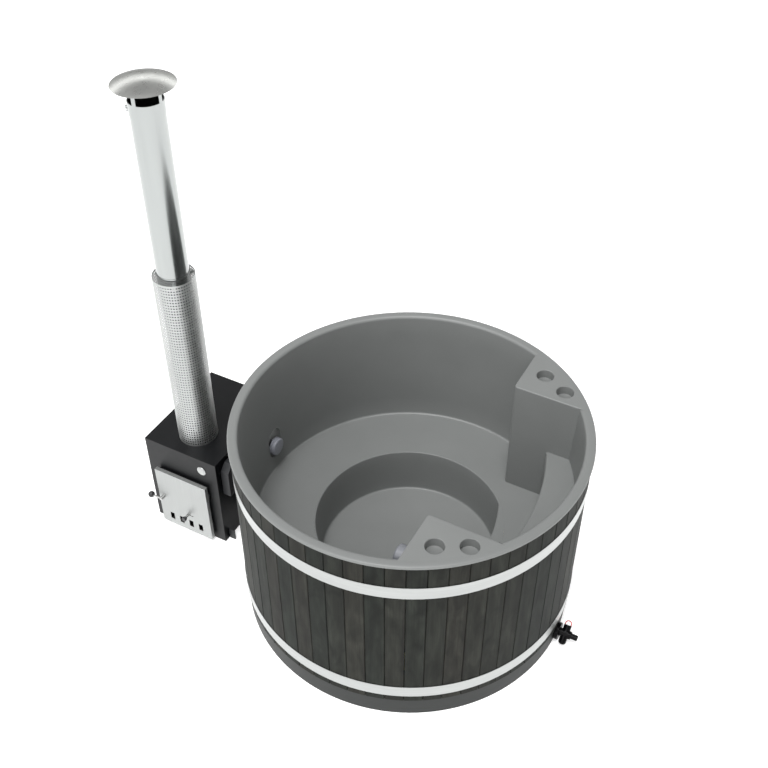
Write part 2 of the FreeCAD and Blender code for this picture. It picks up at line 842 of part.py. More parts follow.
# Bands: two steel hoops, each closed at the back by a pair of lugs and a bolt.
band_inside = stave_corner + d.seat_gap
band_outside = band_inside + d.band_thickness
lug_half = d.lock_width / 2
head_height = d.band_bolt_radius * 1.5
lugs = []
bolts = []
band_lows = {"upper_band": d.rim_height - d.upper_band_drop, "lower_band": plinth_top + d.lower_band_rise}
for name, band_z in band_lows.items():
    keep(name, tube(name + "_hoop", band_outside, band_inside, d.band_width, 0, 0, band_z))
    middle = band_z + d.band_width / 2
    lug_low = middle - d.band_width * 0.3
    lug_high = middle + d.band_width * 0.3
    bolt_y = band_outside + d.lock_depth * 0.55
    bolt_end = d.lock_spread + lug_half
    bolt_room = rod(name + "_bolt_room", d.band_bolt_radius + d.running_gap, bolt_end * 2, -bolt_end,
                    bolt_y, middle, "x")
    for side in (-d.lock_spread, d.lock_spread):
        block = box(f"{name}_lug_{len(lugs)}", (side - lug_half, side + lug_half),
                    (band_outside, band_outside + d.lock_depth), (lug_low, lug_high))
        lugs.append(cut(f"{name}_lug_drilled_{len(lugs)}", block, bolt_room))
    shank_end = bolt_end + head_height
    shank = rod(name + "_shank", d.band_bolt_radius, shank_end * 2, -shank_end, bolt_y, middle, "x")
    heads = []
    for start in (-shank_end, bolt_end):
        head = doc.addObject("Part::Prism", f"{name}_head_{len(heads)}")
        head.Polygon = 6
        bind(head, Circumradius=d.band_bolt_radius * 1.9, Height=head_height)
        heads.append(place(head, start, bolt_y, middle, ALONG["x"]))
    bolts.append(fuse(name + "_bolt", shank, *heads))
keep("band_locks", group("lugs", *lugs))
keep("band_bolts", group("bolts", *bolts))

# Drain valve: flange and body on the plinth, a bored ball on a tilted stem and a hose tail.
valve_x = plinth_radius + d.valve_stand
tail_end = valve_x + d.tail_length
tilt = d.valve_tilt
lean = Rotation(Vector(1, 0, 0), -tilt.number)


def leaning_rod(name, radius, start, finish, shift=0):
    """A rod on the tilted stem axis between two distances from the valve centre."""
    start = size(start)
    return rod(name, radius, size(finish) - start, valve_x + shift, start * sine(tilt),
               d.pipe_height + start * cosine(tilt), lean)


flange_disc = rod("flange_disc", d.valve_flange_radius, flange_front - flange_back, flange_back, 0,
                  d.pipe_height, "x")
flange_socket = rod("flange_socket", d.pipe_radius + d.seat_gap, pipe_finish + d.seat_gap - flange_back,
                    flange_back, 0, d.pipe_height, "x")
flow_bore = rod("flow_bore", d.valve_bore, tail_end, 0, 0, d.pipe_height, "x")
keep("valve_flange", cut("flange", flange_disc, flange_socket, flow_bore))

tail_start = valve_x + d.valve_bonnet_radius + d.valve_shoulder
bonnet_top = d.valve_bonnet_half - d.valve_bonnet_half * d.valve_cap_share
bonnet_roll = d.valve_bonnet_radius * 0.8
valve_bonnet = turned("valve_bonnet", [
    (0, -d.valve_foot),
    *arc(d.valve_bonnet_radius - bonnet_roll, bonnet_roll - d.valve_foot, bonnet_roll, 270, 360, 5),
    (d.valve_bonnet_radius, bonnet_top),
    (0, bonnet_top),
])
valve_solid = fuse(
    "valve_solid",
    rod("valve_run", d.valve_run_radius, tail_start - flange_front, flange_front, 0, d.pipe_height, "x"),
    place(valve_bonnet, valve_x, 0, d.pipe_height, lean))
ball_chamber = ball("ball_chamber", d.valve_ball_radius + d.seat_gap, valve_x, 0, d.pipe_height, "x")
stem_room = leaning_rod("stem_room", d.valve_stem_radius + d.running_gap, d.valve_ball_radius / 2,
                        bonnet_top)
valve_chambered = cut("valve_chambered", valve_solid, ball_chamber)
valve_drilled = cut("valve_drilled", valve_chambered, flow_bore)
keep("valve_body", cut("valve", valve_drilled, stem_room))
ball_form = ball("ball_form", d.valve_ball_radius, valve_x, 0, d.pipe_height, "x")
keep("valve_ball", cut("bored_ball", ball_form, flow_bore))
cap_start = bonnet_top + d.seat_gap
stem_start = d.valve_ball_radius + d.seat_gap
keep("valve_cap", fuse("stem_cap",
                       leaning_rod("stem", d.valve_stem_radius, stem_start, cap_start + OVERLAP),
                       leaning_rod("cap", d.valve_bonnet_radius, cap_start, d.valve_bonnet_half)))
loop_base = d.valve_bonnet_half + d.loop_leg
bail = doc.addObject("Part::Torus", "bail")
bind(bail, Radius1=d.loop_radius, Radius2=d.loop_wire, Angle3=180)
place(bail, valve_x, loop_base * sine(tilt), d.pipe_height + loop_base * cosine(tilt),
      Rotation(Vector(1, 0, 0), 90 - tilt.number))
loop_legs = []
for shift in (-d.loop_radius, d.loop_radius):
    loop_legs.append(leaning_rod(f"loop_leg_{len(loop_legs)}", d.loop_wire, d.valve_bonnet_half, loop_base,
                                 shift))
keep("handle_loop", fuse("loop", bail, *loop_legs))
collar_end = tail_start + d.tail_collar
collar_radius = d.valve_run_radius * 0.95
tail = turned("tail", [
    (d.valve_bore, tail_start),
    (collar_radius, tail_start),
    (collar_radius, collar_end),
    (d.tail_radius, collar_end),
    (d.tail_radius, tail_end),
    (d.valve_bore, tail_end),
])
keep("hose_tail", place(tail, 0, 0, d.pipe_height, ALONG["x"]))

# Stove casing: a plate box on four feet with a door opening, a flue hole and two pipe holes.
stove_half = d.stove_width / 2
stove_side = d.rim_radius + d.stove_gap
stove_x = -stove_side - stove_half
stove_face = -d.stove_front
stove_rear = d.stove_depth - d.stove_front
plate = d.stove_plate
door_half = d.door_width / 2
door_top = d.door_low + d.door_height
opening_half = door_half - d.opening_margin
opening_low = d.door_low + d.opening_trim
opening_high = door_top - d.opening_trim
casing_out = box("casing_out", (stove_x - stove_half, stove_x + stove_half), (stove_face, stove_rear),
                 (d.foot_height, d.stove_top))
casing_in = box("casing_in", (stove_x - stove_half + plate, stove_x + stove_half - plate),
                (stove_face + plate, stove_rear - plate), (d.foot_height + plate, d.stove_top - plate))
door_opening = box("door_opening", (stove_x - opening_half, stove_x + opening_half),
                   (stove_face - SLACK, stove_face + plate), (opening_low, opening_high))
flue_bore = d.flue_radius - d.flue_sheet
neck_radius = flue_bore - d.slip_gap
neck_bore = neck_radius - d.neck_plate
flue_x = stove_x + d.flue_offset
flue_hole = rod("flue_hole", neck_radius + d.seat_gap, SLACK, flue_x, -d.flue_y, d.stove_top - SLACK / 2)
outlet_height = d.stove_top - d.outlet_drop
stub_holes = []
stubs = []
for height in (d.pipe_height, outlet_height):
    stub_holes.append(rod(f"stub_hole_{len(stubs)}", d.pipe_radius + d.seat_gap, SLACK,
                          -stove_side - SLACK / 2, 0, height, "x"))
    stubs.append(tube(f"stub_{len(stubs)}", d.pipe_radius, d.pipe_bore, d.stub_length + plate,
                      -stove_side - plate, 0, height, "x"))
keep("stove_casing", cut("casing", casing_out, casing_in, door_opening, flue_hole, *stub_holes))
keep("stove_stubs", group("stubs", *stubs))

feet = []
for foot_x in (stove_x - stove_half + d.foot_inset, stove_x + stove_half - d.foot_inset):
    for foot_y in (stove_face + d.foot_inset, stove_rear - d.foot_inset):
        feet.append(rod(f"foot_{len(feet)}", d.foot_radius, d.foot_height, foot_x, foot_y, 0))
keep("stove_feet", group("feet", *feet))

# Firebox: an inner box inside the water jacket, with a cast grate and the neck of the flue.
fire_half = stove_half - plate - d.water_jacket
fire_face = stove_face + plate
fire_rear = stove_rear - plate - d.water_jacket
fire_low = d.foot_height + plate + d.jacket_floor
fire_high = d.stove_top - plate - d.water_jacket
skin = d.firebox_plate
fire_out = box("fire_out", (stove_x - fire_half, stove_x + fire_half), (fire_face, fire_rear),
               (fire_low, fire_high))
fire_in = box("fire_in", (stove_x - fire_half + skin, stove_x + fire_half - skin),
              (fire_face, fire_rear - skin), (fire_low + skin, fire_high - skin))
roof_hole = rod("roof_hole", neck_bore, SLACK, flue_x, -d.flue_y, fire_high - SLACK / 2)
keep("firebox", cut("fire_box", fire_out, fire_in, roof_hole))

margin = d.grate_margin
grate_half = fire_half - margin
grate_low = fire_low + skin + d.grate_lift
grate_top = grate_low + d.grate_plate
grate_front = fire_face + margin * 2
grate_rear = fire_rear - margin * 2
grate_plate = box("grate_plate", (stove_x - grate_half, stove_x + grate_half), (grate_front, grate_rear),
                  (grate_low, grate_top))
grate_slots = []
for index in range(1, int(d.grate_bars.number)):
    slot_x = stove_x - grate_half + grate_half * 2 * index / d.grate_bars
    grate_slots.append(box(f"grate_slot_{index}", (slot_x - d.grate_slot / 2, slot_x + d.grate_slot / 2),
                           (grate_front + margin, grate_rear - margin), (grate_low, grate_top)))
grate_feet = []
for corner_x in (stove_x - grate_half, stove_x + grate_half - margin):
    for corner_y in (grate_front, grate_rear - margin):
        grate_feet.append(box(f"grate_foot_{len(grate_feet)}", (corner_x, corner_x + margin),
                              (corner_y, corner_y + margin), (fire_low + skin, grate_low)))
keep("fire_grate", fuse("grate", cut("grate_bars", grate_plate, *grate_slots), *grate_feet))
neck_length = d.stove_top - fire_high + d.neck_rise
keep("flue_neck", tube("neck", neck_radius, neck_bore, neck_length, flue_x, -d.flue_y, fire_high))

# Side brackets: an upper bracket with a sloping top and a low foot on the tub side of the stove.
bracket_front = stove_face + d.bracket_inset
bracket_rear = bracket_front + d.bracket_depth
upper_bracket = new_body("upper_bracket")
padded(upper_bracket, "YZ_Plane", "bracket_plate", [[
    (bracket_front, d.stove_top - d.bracket_bottom),
    (bracket_rear, d.stove_top - d.bracket_bottom),
    (bracket_rear, d.stove_top - d.bracket_top),
    (bracket_front + d.bracket_slope, d.stove_top - d.bracket_top),
    (bracket_front, d.stove_top - d.bracket_shoulder),
]], d.bracket_reach)
place(upper_bracket, -stove_side, 0, 0)
lower_bracket = box("lower_bracket", (-stove_side, d.low_bracket_reach - stove_side),
                    (bracket_front, bracket_front + d.low_bracket_depth), (0, d.low_bracket_height))
keep("side_brackets", group("brackets", upper_bracket, lower_bracket))

# Hoses: rubber sleeves over the stubs, the upper one stepping up to the inlet, with four clamps.
hose_start = d.hose_stand - stove_side
stub_end = d.stub_length - stove_side
hose_finish = d.hose_overlap - spigot_end
hose_bore = d.pipe_radius + d.seat_gap


def hose_form(name, radius):
    """A solid through four rings, level at both ends and sloping between them."""
    stations = ((hose_start, outlet_height), (stub_end, outlet_height), (-spigot_end, inlet_height),
                (hose_finish, inlet_height))
    rings = []
    for index, (x, z) in enumerate(stations):
        ring = doc.addObject("Part::Circle", f"{name}_ring_{index}")
        bind(ring, Radius=radius)
        rings.append(place(ring, x, 0, z, ALONG["x"]))
    loft = doc.addObject("Part::Loft", name)
    loft.Sections = rings
    loft.Solid = True
    loft.Ruled = True
    return loft


keep("upper_hose", cut("stepped_hose", hose_form("hose_outer", d.hose_radius),
                       hose_form("hose_inner", hose_bore)))
keep("lower_hose", tube("straight_hose", d.hose_radius, hose_bore, hose_finish - hose_start, hose_start, 0,
                        d.pipe_height, "x"))
clamp_inside = d.hose_radius + d.running_gap
stove_clamp = hose_start + d.clamp_inset
tub_clamp = hose_finish - d.clamp_inset - d.clamp_width
clamps = []
for clamp_x, clamp_z in ((stove_clamp, d.pipe_height), (stove_clamp, outlet_height),
                         (tub_clamp, d.pipe_height), (tub_clamp, inlet_height)):
    clamps.append(tube(f"clamp_{len(clamps)}", clamp_inside + d.clamp_sheet, clamp_inside, d.clamp_width,
                       clamp_x, 0, clamp_z, "x"))
keep("hose_clamps", group("clamps", *clamps))

# Door frame: a welded collar round the opening with a rope gasket on it.
frame_half = door_half - d.frame_margin
frame_low = d.door_low + d.frame_margin
frame_high = door_top - d.frame_margin
frame_face = stove_face - d.frame_depth


def picture_frame(name, ys, outer, inner):
    """A flat ring between two rectangles given as left, right, low and high from the door's middle."""
    sides = []
    for label, (left, right, low, high) in (("_out", outer), ("_in", inner)):
        sides.append(box(name + label, (stove_x + left, stove_x + right), ys, (low, high)))
    return cut(name, *sides)


keep("door_frame", picture_frame("collar", (frame_face, stove_face),
                                 (-frame_half, frame_half, frame_low, frame_high),
                                 (-opening_half, opening_half, opening_low, opening_high)))
rope_half = frame_half - d.slip_gap
rope_low = frame_low + d.slip_gap
rope_high = frame_high - d.slip_gap
rope = d.gasket_width
gasket_face = frame_face - d.gasket_depth
keep("door_gasket", picture_frame("rope", (gasket_face, frame_face),
                                  (-rope_half, rope_half, rope_low, rope_high),
                                  (rope - rope_half, rope_half - rope, rope_low + rope, rope_high - rope)))

# Hinges: two barrel pairs hidden behind the edge of the door, the lower barrel welded to the casing and
# the upper one on a leaf inside the skirt of the door.
fold = d.door_sheet
door_front = stove_face - d.door_face
sheet_back = door_front + fold
hinge_x = stove_x + door_half - fold
hinge_y = stove_face - d.hinge_stand
pin_bore = d.pin_radius + d.running_gap
brackets = []
leaves = []
pins = []
for index, hinge_z in enumerate((d.lower_hinge_z, d.upper_hinge_z)):
    low = hinge_z - d.hinge_half
    high = hinge_z + d.hinge_half
    leaf_low = hinge_z + d.seat_gap
    pin_low = low + d.hinge_radius
    bore = rod(f"pin_bore_{index}", pin_bore, high - pin_low, hinge_x, hinge_y, pin_low)
    bracket = fuse(
        f"bracket_{index}",
        rod(f"bracket_barrel_{index}", d.hinge_radius, d.hinge_half, hinge_x, hinge_y, low),
        box(f"bracket_lug_{index}", (hinge_x - d.pin_radius, hinge_x + d.pin_radius), (hinge_y, stove_face),
            (low, hinge_z)))
    brackets.append(cut(f"bracket_bored_{index}", bracket, bore))
    leaf = fuse(
        f"leaf_{index}",
        rod(f"leaf_barrel_{index}", d.hinge_radius, high - leaf_low, hinge_x, hinge_y, leaf_low),
        box(f"leaf_plate_{index}", (hinge_x - d.hinge_plate, hinge_x), (sheet_back + fold, hinge_y),
            (leaf_low, high)))
    leaves.append(cut(f"leaf_bored_{index}", leaf, bore))
    pins.append(rod(f"pin_{index}", d.pin_radius, high - pin_low, hinge_x, hinge_y, pin_low))
keep("hinge_brackets", group("bracket_pair", *brackets))
keep("hinge_leaves", group("leaf_pair", *leaves))
keep("hinge_pins", group("pin_pair", *pins))

# Door: a folded steel pan. Its vents are one pocket repeated along the door, with a slot for the
# slider stalk and a hole for the latch spindle. Sketches are drawn on the back plane of the pan.
slot_half = d.slider_neck + d.slip_gap
vent_half = d.vent_width / 2
vent_low = d.vent_z - d.vent_height / 2
vent_high = d.vent_z + d.vent_height / 2
vent_first = -d.vent_pitch * (d.vent_count - 1) / 2
door_pan = new_body("door_pan")
door_outline = rectangle(-door_half, door_half, d.door_low, door_top)
pan_outline = rectangle(fold - door_half, door_half - fold, d.door_low + fold, door_top - fold)
vent_outline = rectangle(vent_first - vent_half, vent_first + vent_half, vent_low, vent_high)
stalk_outline = rectangle(d.slider_x - slot_half, d.slider_x + d.slider_travel + slot_half,
                          d.slider_z - slot_half, d.slider_z + slot_half)
padded(door_pan, "XZ_Plane", "door_blank", [door_outline], d.door_depth)
pocketed(door_pan, "XZ_Plane", "door_inside", [pan_outline], d.door_depth - fold)
vent = pocketed(door_pan, "XZ_Plane", "vent", [vent_outline], d.door_depth + OVERLAP)
doc.recompute()
vent_row = door_pan.newObject("PartDesign::LinearPattern", "vent_row")
vent_row.Originals = [vent]
vent_row.Direction = (vent.Profile[0], ["H_Axis"])
bind(vent_row, Length=d.vent_pitch * (d.vent_count - 1), Occurrences=d.vent_count)
door_pan.Tip = vent_row
pocketed(door_pan, "XZ_Plane", "stalk_slot", [stalk_outline], d.door_depth + OVERLAP)
place(door_pan, stove_x, door_front + d.door_depth, 0)
spindle_x = stove_x - d.lever_x
spindle_room = d.lever_radius + d.running_gap * 2
spindle_hole = rod("spindle_hole", spindle_room, SLACK, spindle_x, door_front - SLACK / 2, d.lever_z, "y")
keep("door_panel", cut("drilled_pan", door_pan, spindle_hole))

inside_half = door_half - fold - d.seat_gap
seal_half = inside_half - d.hinge_plate
seal_low = d.door_low + fold + d.seat_gap
seal_high = door_top - fold - d.seat_gap
land_half = seal_half - d.seal_width
land_low = seal_low + d.seal_width + d.hinge_plate
land_high = seal_high - d.seal_width - d.hinge_plate
seal_face = gasket_face - d.seat_gap
keep("door_inner_frame", picture_frame("seal_land", (seal_face - d.slider_sheet, seal_face),
                                       (-inside_half, seal_half, seal_low, seal_high),
                                       (-land_half, land_half, land_low, land_high)))

board_half = land_half - d.slider_sheet
board_low = d.slider_z + slot_half + d.slider_rim * 2 + d.guide_width
liner_board = box("liner_board", (stove_x - board_half, stove_x + board_half),
                  (sheet_back, sheet_back + d.door_board), (board_low, land_high - d.slider_sheet))
liner_hole = rod("liner_hole", d.lever_hub, SLACK, spindle_x, sheet_back - OVERLAP, d.lever_z, "y")
keep("door_liner", cut("door_board", liner_board, liner_hole))

# Air slider: a plate with windows at the vent pitch between two guide strips, and its stalk knob.
window_half = vent_half + d.slip_gap * 2
slide_gap = d.running_gap * 4
slider_front = sheet_back + slide_gap
slider_back = slider_front + d.slider_sheet
slider_low = vent_low - d.slider_rim
slider_high = d.slider_z + slot_half + d.slider_rim
slider_left = stove_x + vent_first - window_half - d.slider_travel - d.slider_sheet
slider_right = stove_x - vent_first + window_half + d.slider_rim
windows = []
for index in range(int(d.vent_count.number)):
    window_x = stove_x + vent_first + d.vent_pitch * index
    windows.append(box(f"window_{index}", (window_x - window_half, window_x + window_half),
                       (slider_front, slider_back), (vent_low, vent_high)))
slider_form = box("slider_form", (slider_left, slider_right), (slider_front, slider_back),
                  (slider_low, slider_high))
keep("slider_plate", cut("slider", slider_form, *windows))
knob_radius = d.slider_knob_radius
knob_front = door_front - d.slider_out
stalk_front = knob_front + knob_radius / 2
stalk_x = stove_x + d.slider_x
knob_steps = (
    (d.slider_neck, stalk_front, slider_front),
    (d.slider_stalk, stalk_front, door_front - d.slip_gap),
    (knob_radius * 0.7, knob_front + knob_radius, knob_front + knob_radius * 1.5),
    (knob_radius, knob_front, knob_front + knob_radius),
)
knob_rods = []
for radius, start, finish in knob_steps:
    knob_rods.append(rod(f"knob_step_{len(knob_rods)}", radius, finish - start, stalk_x, start, d.slider_z,
                         "y"))
keep("slider_knob", fuse("stalk_knob", *knob_rods))
guide_back = slider_back + slide_gap
low_guide = slider_low - slide_gap - d.guide_width
high_guide = slider_high + slide_gap
guides = []
cover_height = d.guide_width + d.guide_lip
for low, cover_low in ((low_guide, low_guide), (high_guide, high_guide - d.guide_lip)):
    strip = box(f"guide_strip_{len(guides)}", (stove_x - board_half, stove_x + board_half),
                (sheet_back, guide_back), (low, low + d.guide_width))
    cover = box(f"guide_cover_{len(guides)}", (stove_x - board_half, stove_x + board_half),
                (guide_back, guide_back + d.slider_sheet), (cover_low, cover_low + cover_height))
    guides.append(fuse(f"guide_{len(guides)}", strip, cover))
keep("slider_guides", group("guides", *guides))

# Latch: a lever with a ball knob outside, its spindle through the door and a pawl behind the casing lip.
lever_y = door_front - d.lever_out
pawl_front = stove_face + plate + d.slip_gap
spindle_rear = pawl_front + d.pawl_thickness
lever_end = d.lever_length - d.lever_knob_radius + d.knob_socket
hub_front = lever_y - d.lever_radius - d.slip_gap * 2
hub_length = door_front - d.seat_gap - hub_front
keep("handle_lever", fuse(
    "lever",
    rod("spindle", d.lever_radius, spindle_rear - lever_y, spindle_x, lever_y, d.lever_z, "y"),
    rod("lever_hub", d.lever_hub, hub_length, spindle_x, hub_front, d.lever_z, "y"),
    rod("lever_bar", d.lever_radius, lever_end, spindle_x - lever_end, lever_y, d.lever_z, "x")))
keep("handle_knob", cut(
    "knob",
    ball("knob_ball", d.lever_knob_radius, spindle_x - d.lever_length, lever_y, d.lever_z, "x"),
    rod("knob_hole", d.lever_radius + d.seat_gap, SLACK * 2, spindle_x - lever_end - d.seat_gap, lever_y,
        d.lever_z, "x")))
pawl_half = d.pawl_width / 2
keep("latch_pawl", cut(
    "pawl",
    fuse("pawl_form",
         rod("pawl_hub", pawl_half, d.pawl_thickness, spindle_x, pawl_front, d.lever_z, "y"),
         box("pawl_arm", (spindle_x - pawl_half, spindle_x + pawl_half), (pawl_front, spindle_rear),
             (d.lever_z, d.lever_z + d.pawl_length))),
    rod("pawl_bore", d.lever_radius + d.running_gap, SLACK, spindle_x, pawl_front - OVERLAP, d.lever_z,
        "y")))

# Flue: a lower pipe on the stove top with a socket that takes the upper pipe, and a guard held off it
# by tabs.
guard_top = d.stove_top + d.guard_length
flue_joint = guard_top + d.joint_rise
flue_top = d.stove_top + d.flue_length
socket_inside = d.flue_radius + d.seat_gap
socket_outside = socket_inside + d.flue_sheet
socket_low = flue_joint - d.spigot_depth
flare_low = socket_low - d.flue_sheet * 3
lower_pipe = turned("lower_pipe", [
    (flue_bore, d.stove_top),
    (d.flue_radius, d.stove_top),
    (d.flue_radius, flare_low),
    (socket_outside, socket_low),
    (socket_outside, flue_joint),
    (socket_inside, flue_joint),
    (socket_inside, socket_low),
    (flue_bore, flare_low),
])
keep("flue_lower", place(lower_pipe, flue_x, -d.flue_y, 0))
upper_start = socket_low + d.seat_gap
keep("flue_upper", tube("upper_pipe", d.flue_radius, flue_bore, flue_top - upper_start, flue_x, -d.flue_y,
                        upper_start))
guard_bore = d.guard_radius - d.guard_sheet
keep("heat_guard", tube("guard", d.guard_radius, guard_bore, guard_top - d.stove_top, flue_x, -d.flue_y,
                        d.stove_top))
tabs = []
tab_half = d.tab_height / 2
tab_count = 3
first_tab = -55
tab_rings = ((d.stove_top + d.guard_radius, d.flue_radius), (guard_top - d.tab_height * 2, socket_outside))
for tab_z, pipe_side in tab_rings:
    for index in range(tab_count):
        turn = first_tab + index * 360 / tab_count
        tabs.append(box(f"tab_{len(tabs)}", (pipe_side + d.seat_gap, guard_bore - d.seat_gap * 2),
                        (-tab_half, tab_half), (tab_z, tab_z + d.tab_height), turn, (flue_x, -d.flue_y, 0)))
keep("guard_spacers", group("tabs", *tabs))

# Rain cap: a spherical dome on a slit collar whose four straps rise to its underside, with a clamp.
cap_low = flue_top + d.cap_lift
cap_top = cap_low + d.cap_rise
dome_radius = (d.cap_radius * d.cap_radius + d.cap_rise * d.cap_rise) / (2 * d.cap_rise)
dome_z = cap_top - dome_radius
dome_block = box("dome_block", (flue_x - dome_radius, flue_x + dome_radius),
                 (-d.flue_y - dome_radius, dome_radius - d.flue_y), (cap_low, cap_top + d.cap_rise))
dome_form = common("dome_form", ball("dome_out", dome_radius, flue_x, -d.flue_y, dome_z), dome_block)
dome_in = ball("dome_in", dome_radius - d.cap_sheet, flue_x, -d.flue_y, dome_z)
keep("rain_cap", cut("dome", dome_form, dome_in))

collar_inside = d.flue_radius + d.seat_gap
collar_outside = collar_inside + d.cap_sheet
collar_low = flue_top - d.cap_collar
collar_tube = tube("collar_tube", collar_outside, collar_inside, cap_top - collar_low, flue_x, -d.flue_y,
                   collar_low)
strap_ball = ball("strap_ball", dome_radius - d.cap_sheet - d.seat_gap, flue_x, -d.flue_y, dome_z)
strap_half = d.strap_width / 2
keepers = [rod("collar_zone", collar_outside, flue_top - collar_low, flue_x, -d.flue_y, collar_low)]
for turn in (d.strap_turn, d.strap_turn + 90):
    keepers.append(box(f"strap_zone_{len(keepers)}", (-collar_outside - OVERLAP, collar_outside + OVERLAP),
                       (-strap_half, strap_half), (collar_low, cap_top), turn, (flue_x, -d.flue_y, 0)))
collar_straps = common("collar_straps", collar_tube, strap_ball, fuse("strap_zones", *keepers))
ear_low = collar_low + d.ear_inset
ear_high = ear_low + d.ear_height
ear_reach = collar_outside + d.clamp_reach
ears = []
for near_side in (d.ear_gap / 2, -d.ear_gap / 2 - d.ear_sheet):
    ears.append(box(f"ear_{len(ears)}", (collar_inside + d.slip_gap, ear_reach),
                    (near_side, near_side + d.ear_sheet), (ear_low, ear_high), d.clamp_turn,
                    (flue_x, -d.flue_y, 0)))
bolt_out = ear_reach - d.clamp_reach * 0.45
bolt_x = flue_x + bolt_out * cosine(d.clamp_turn)
bolt_y = bolt_out * sine(d.clamp_turn) - d.flue_y
bolt_z = (ear_low + ear_high) / 2
ear_face = d.ear_gap / 2 + d.ear_sheet
bolt_half = ear_face + d.clamp_bolt_radius * 1.6
across = Rotation(Vector(0, 0, 1), d.clamp_turn.number) * ALONG["y"]


def clamp_rod(name, radius, start, finish):
    """A rod across the clamp ears between two distances from the gap between them."""
    return rod(name, radius, finish - start, bolt_x - start * sine(d.clamp_turn),
               bolt_y + start * cosine(d.clamp_turn), bolt_z, across)


keep("cap_bracket", cut("bracket", fuse("bracket_form", collar_straps, *ears),
                        clamp_rod("ear_holes", d.clamp_bolt_radius + d.running_gap, -bolt_half, bolt_half)))
bolt_head = d.clamp_bolt_radius * 1.8
keep("cap_clamp_bolt", fuse("clamp_bolt",
                            clamp_rod("clamp_shank", d.clamp_bolt_radius, -bolt_half, bolt_half),
                            clamp_rod("clamp_head", bolt_head, -bolt_half, -ear_face),
                            clamp_rod("clamp_nut", bolt_head, ear_face, bolt_half)))

doc.recompute()
for name, item in subparts.items():
    if {"Invalid", "Error"} & set(item.State):
        raise RuntimeError(f"{name} did not compute")
    if item.Shape.isNull() or not item.Shape.isValid() or not item.Shape.Solids:
        raise RuntimeError(f"{name} has no valid solid")
    item.Shape.exportStep(f"parts/{name}.step")
for item in doc.Objects:
    if {"Invalid", "Error"} & set(item.State):
        raise RuntimeError(f"{item.Name} did not compute")
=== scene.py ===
import bpy
import math
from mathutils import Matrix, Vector


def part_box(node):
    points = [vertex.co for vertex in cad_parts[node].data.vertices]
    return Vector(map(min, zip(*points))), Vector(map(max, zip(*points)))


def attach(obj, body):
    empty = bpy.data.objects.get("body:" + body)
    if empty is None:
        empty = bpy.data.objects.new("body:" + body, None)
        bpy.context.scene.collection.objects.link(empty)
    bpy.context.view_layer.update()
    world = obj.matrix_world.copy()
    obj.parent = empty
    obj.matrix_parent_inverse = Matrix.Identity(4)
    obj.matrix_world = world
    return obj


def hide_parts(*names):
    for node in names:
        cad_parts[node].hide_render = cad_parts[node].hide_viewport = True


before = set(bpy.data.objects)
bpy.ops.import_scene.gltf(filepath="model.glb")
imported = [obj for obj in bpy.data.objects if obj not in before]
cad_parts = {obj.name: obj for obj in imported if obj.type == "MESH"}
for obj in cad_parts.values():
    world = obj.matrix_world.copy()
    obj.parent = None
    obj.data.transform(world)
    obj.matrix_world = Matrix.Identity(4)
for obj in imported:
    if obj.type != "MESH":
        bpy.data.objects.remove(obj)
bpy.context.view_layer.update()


# Plinth: the moulded ring that the tub stands on.
# Rotomoulded polyethylene, dyed dark grey in the mass, with the dull skin that such mouldings have.
# The staves stand on its ledge and hide all but its wall.
def srgb(code):
    """A hex colour as linear red, green, blue and alpha."""
    parts = [int(code[i:i + 2], 16) / 255 for i in (1, 3, 5)]
    return (*[c / 12.92 if c <= 0.04045 else ((c + 0.055) / 1.055) ** 2.4 for c in parts], 1.0)


def add(tree, kind, inputs=None, **settings):
    """Adds a node, with settings for its properties and values or links for its inputs."""
    node = tree.nodes.new(kind)
    for name, value in settings.items():
        setattr(node, name, value)
    for name, value in (inputs or {}).items():
        if isinstance(value, bpy.types.NodeSocket):
            tree.links.new(value, node.inputs[name])
        else:
            node.inputs[name].default_value = value
    return node


def new_material(name):
    """An empty material, its node tree, its principled shader and the place on the object in metres."""
    material = bpy.data.materials.new(name)
    material.use_nodes = True
    tree = material.node_tree
    place = add(tree, "ShaderNodeTexCoord").outputs["Object"]
    return material, tree, tree.nodes["Principled BSDF"], place


def mottle(tree, place, dark, light, size_mm, stretch=(1, 1, 1), detail=3.0):
    """Clouds of about a size in millimetres that go from one colour to another, as colour and clouds."""
    spread = add(tree, "ShaderNodeVectorMath", {0: place, 1: stretch}, operation="MULTIPLY")
    clouds = add(tree, "ShaderNodeTexNoise", {"Vector": spread.outputs[0], "Scale": 1000 / size_mm,
                                              "Detail": detail})
    blend = add(tree, "ShaderNodeMix", {0: clouds.outputs[0], 6: srgb(dark), 7: srgb(light)},
                data_type="RGBA")
    return blend.outputs[2], clouds.outputs[0]


def finish_with(tree, shader, colour, clouds, rough, bump_mm=0.0):
    """Links colour, a roughness that follows the clouds between two values, and a bump of a real height."""
    tree.links.new(colour, shader.inputs["Base Color"])
    gloss = add(tree, "ShaderNodeMapRange", {"Value": clouds, "To Min": rough[0], "To Max": rough[1]})
    tree.links.new(gloss.outputs[0], shader.inputs["Roughness"])
    if bump_mm:
        bump = add(tree, "ShaderNodeBump", {"Height": clouds, "Distance": bump_mm / 1000, "Strength": 1.0})
        tree.links.new(bump.outputs[0], shader.inputs["Normal"])


SHARP_EDGE = math.radians(30)
BROKEN_EDGE = math.radians(40)
JOIN_DISTANCE = 0.00002


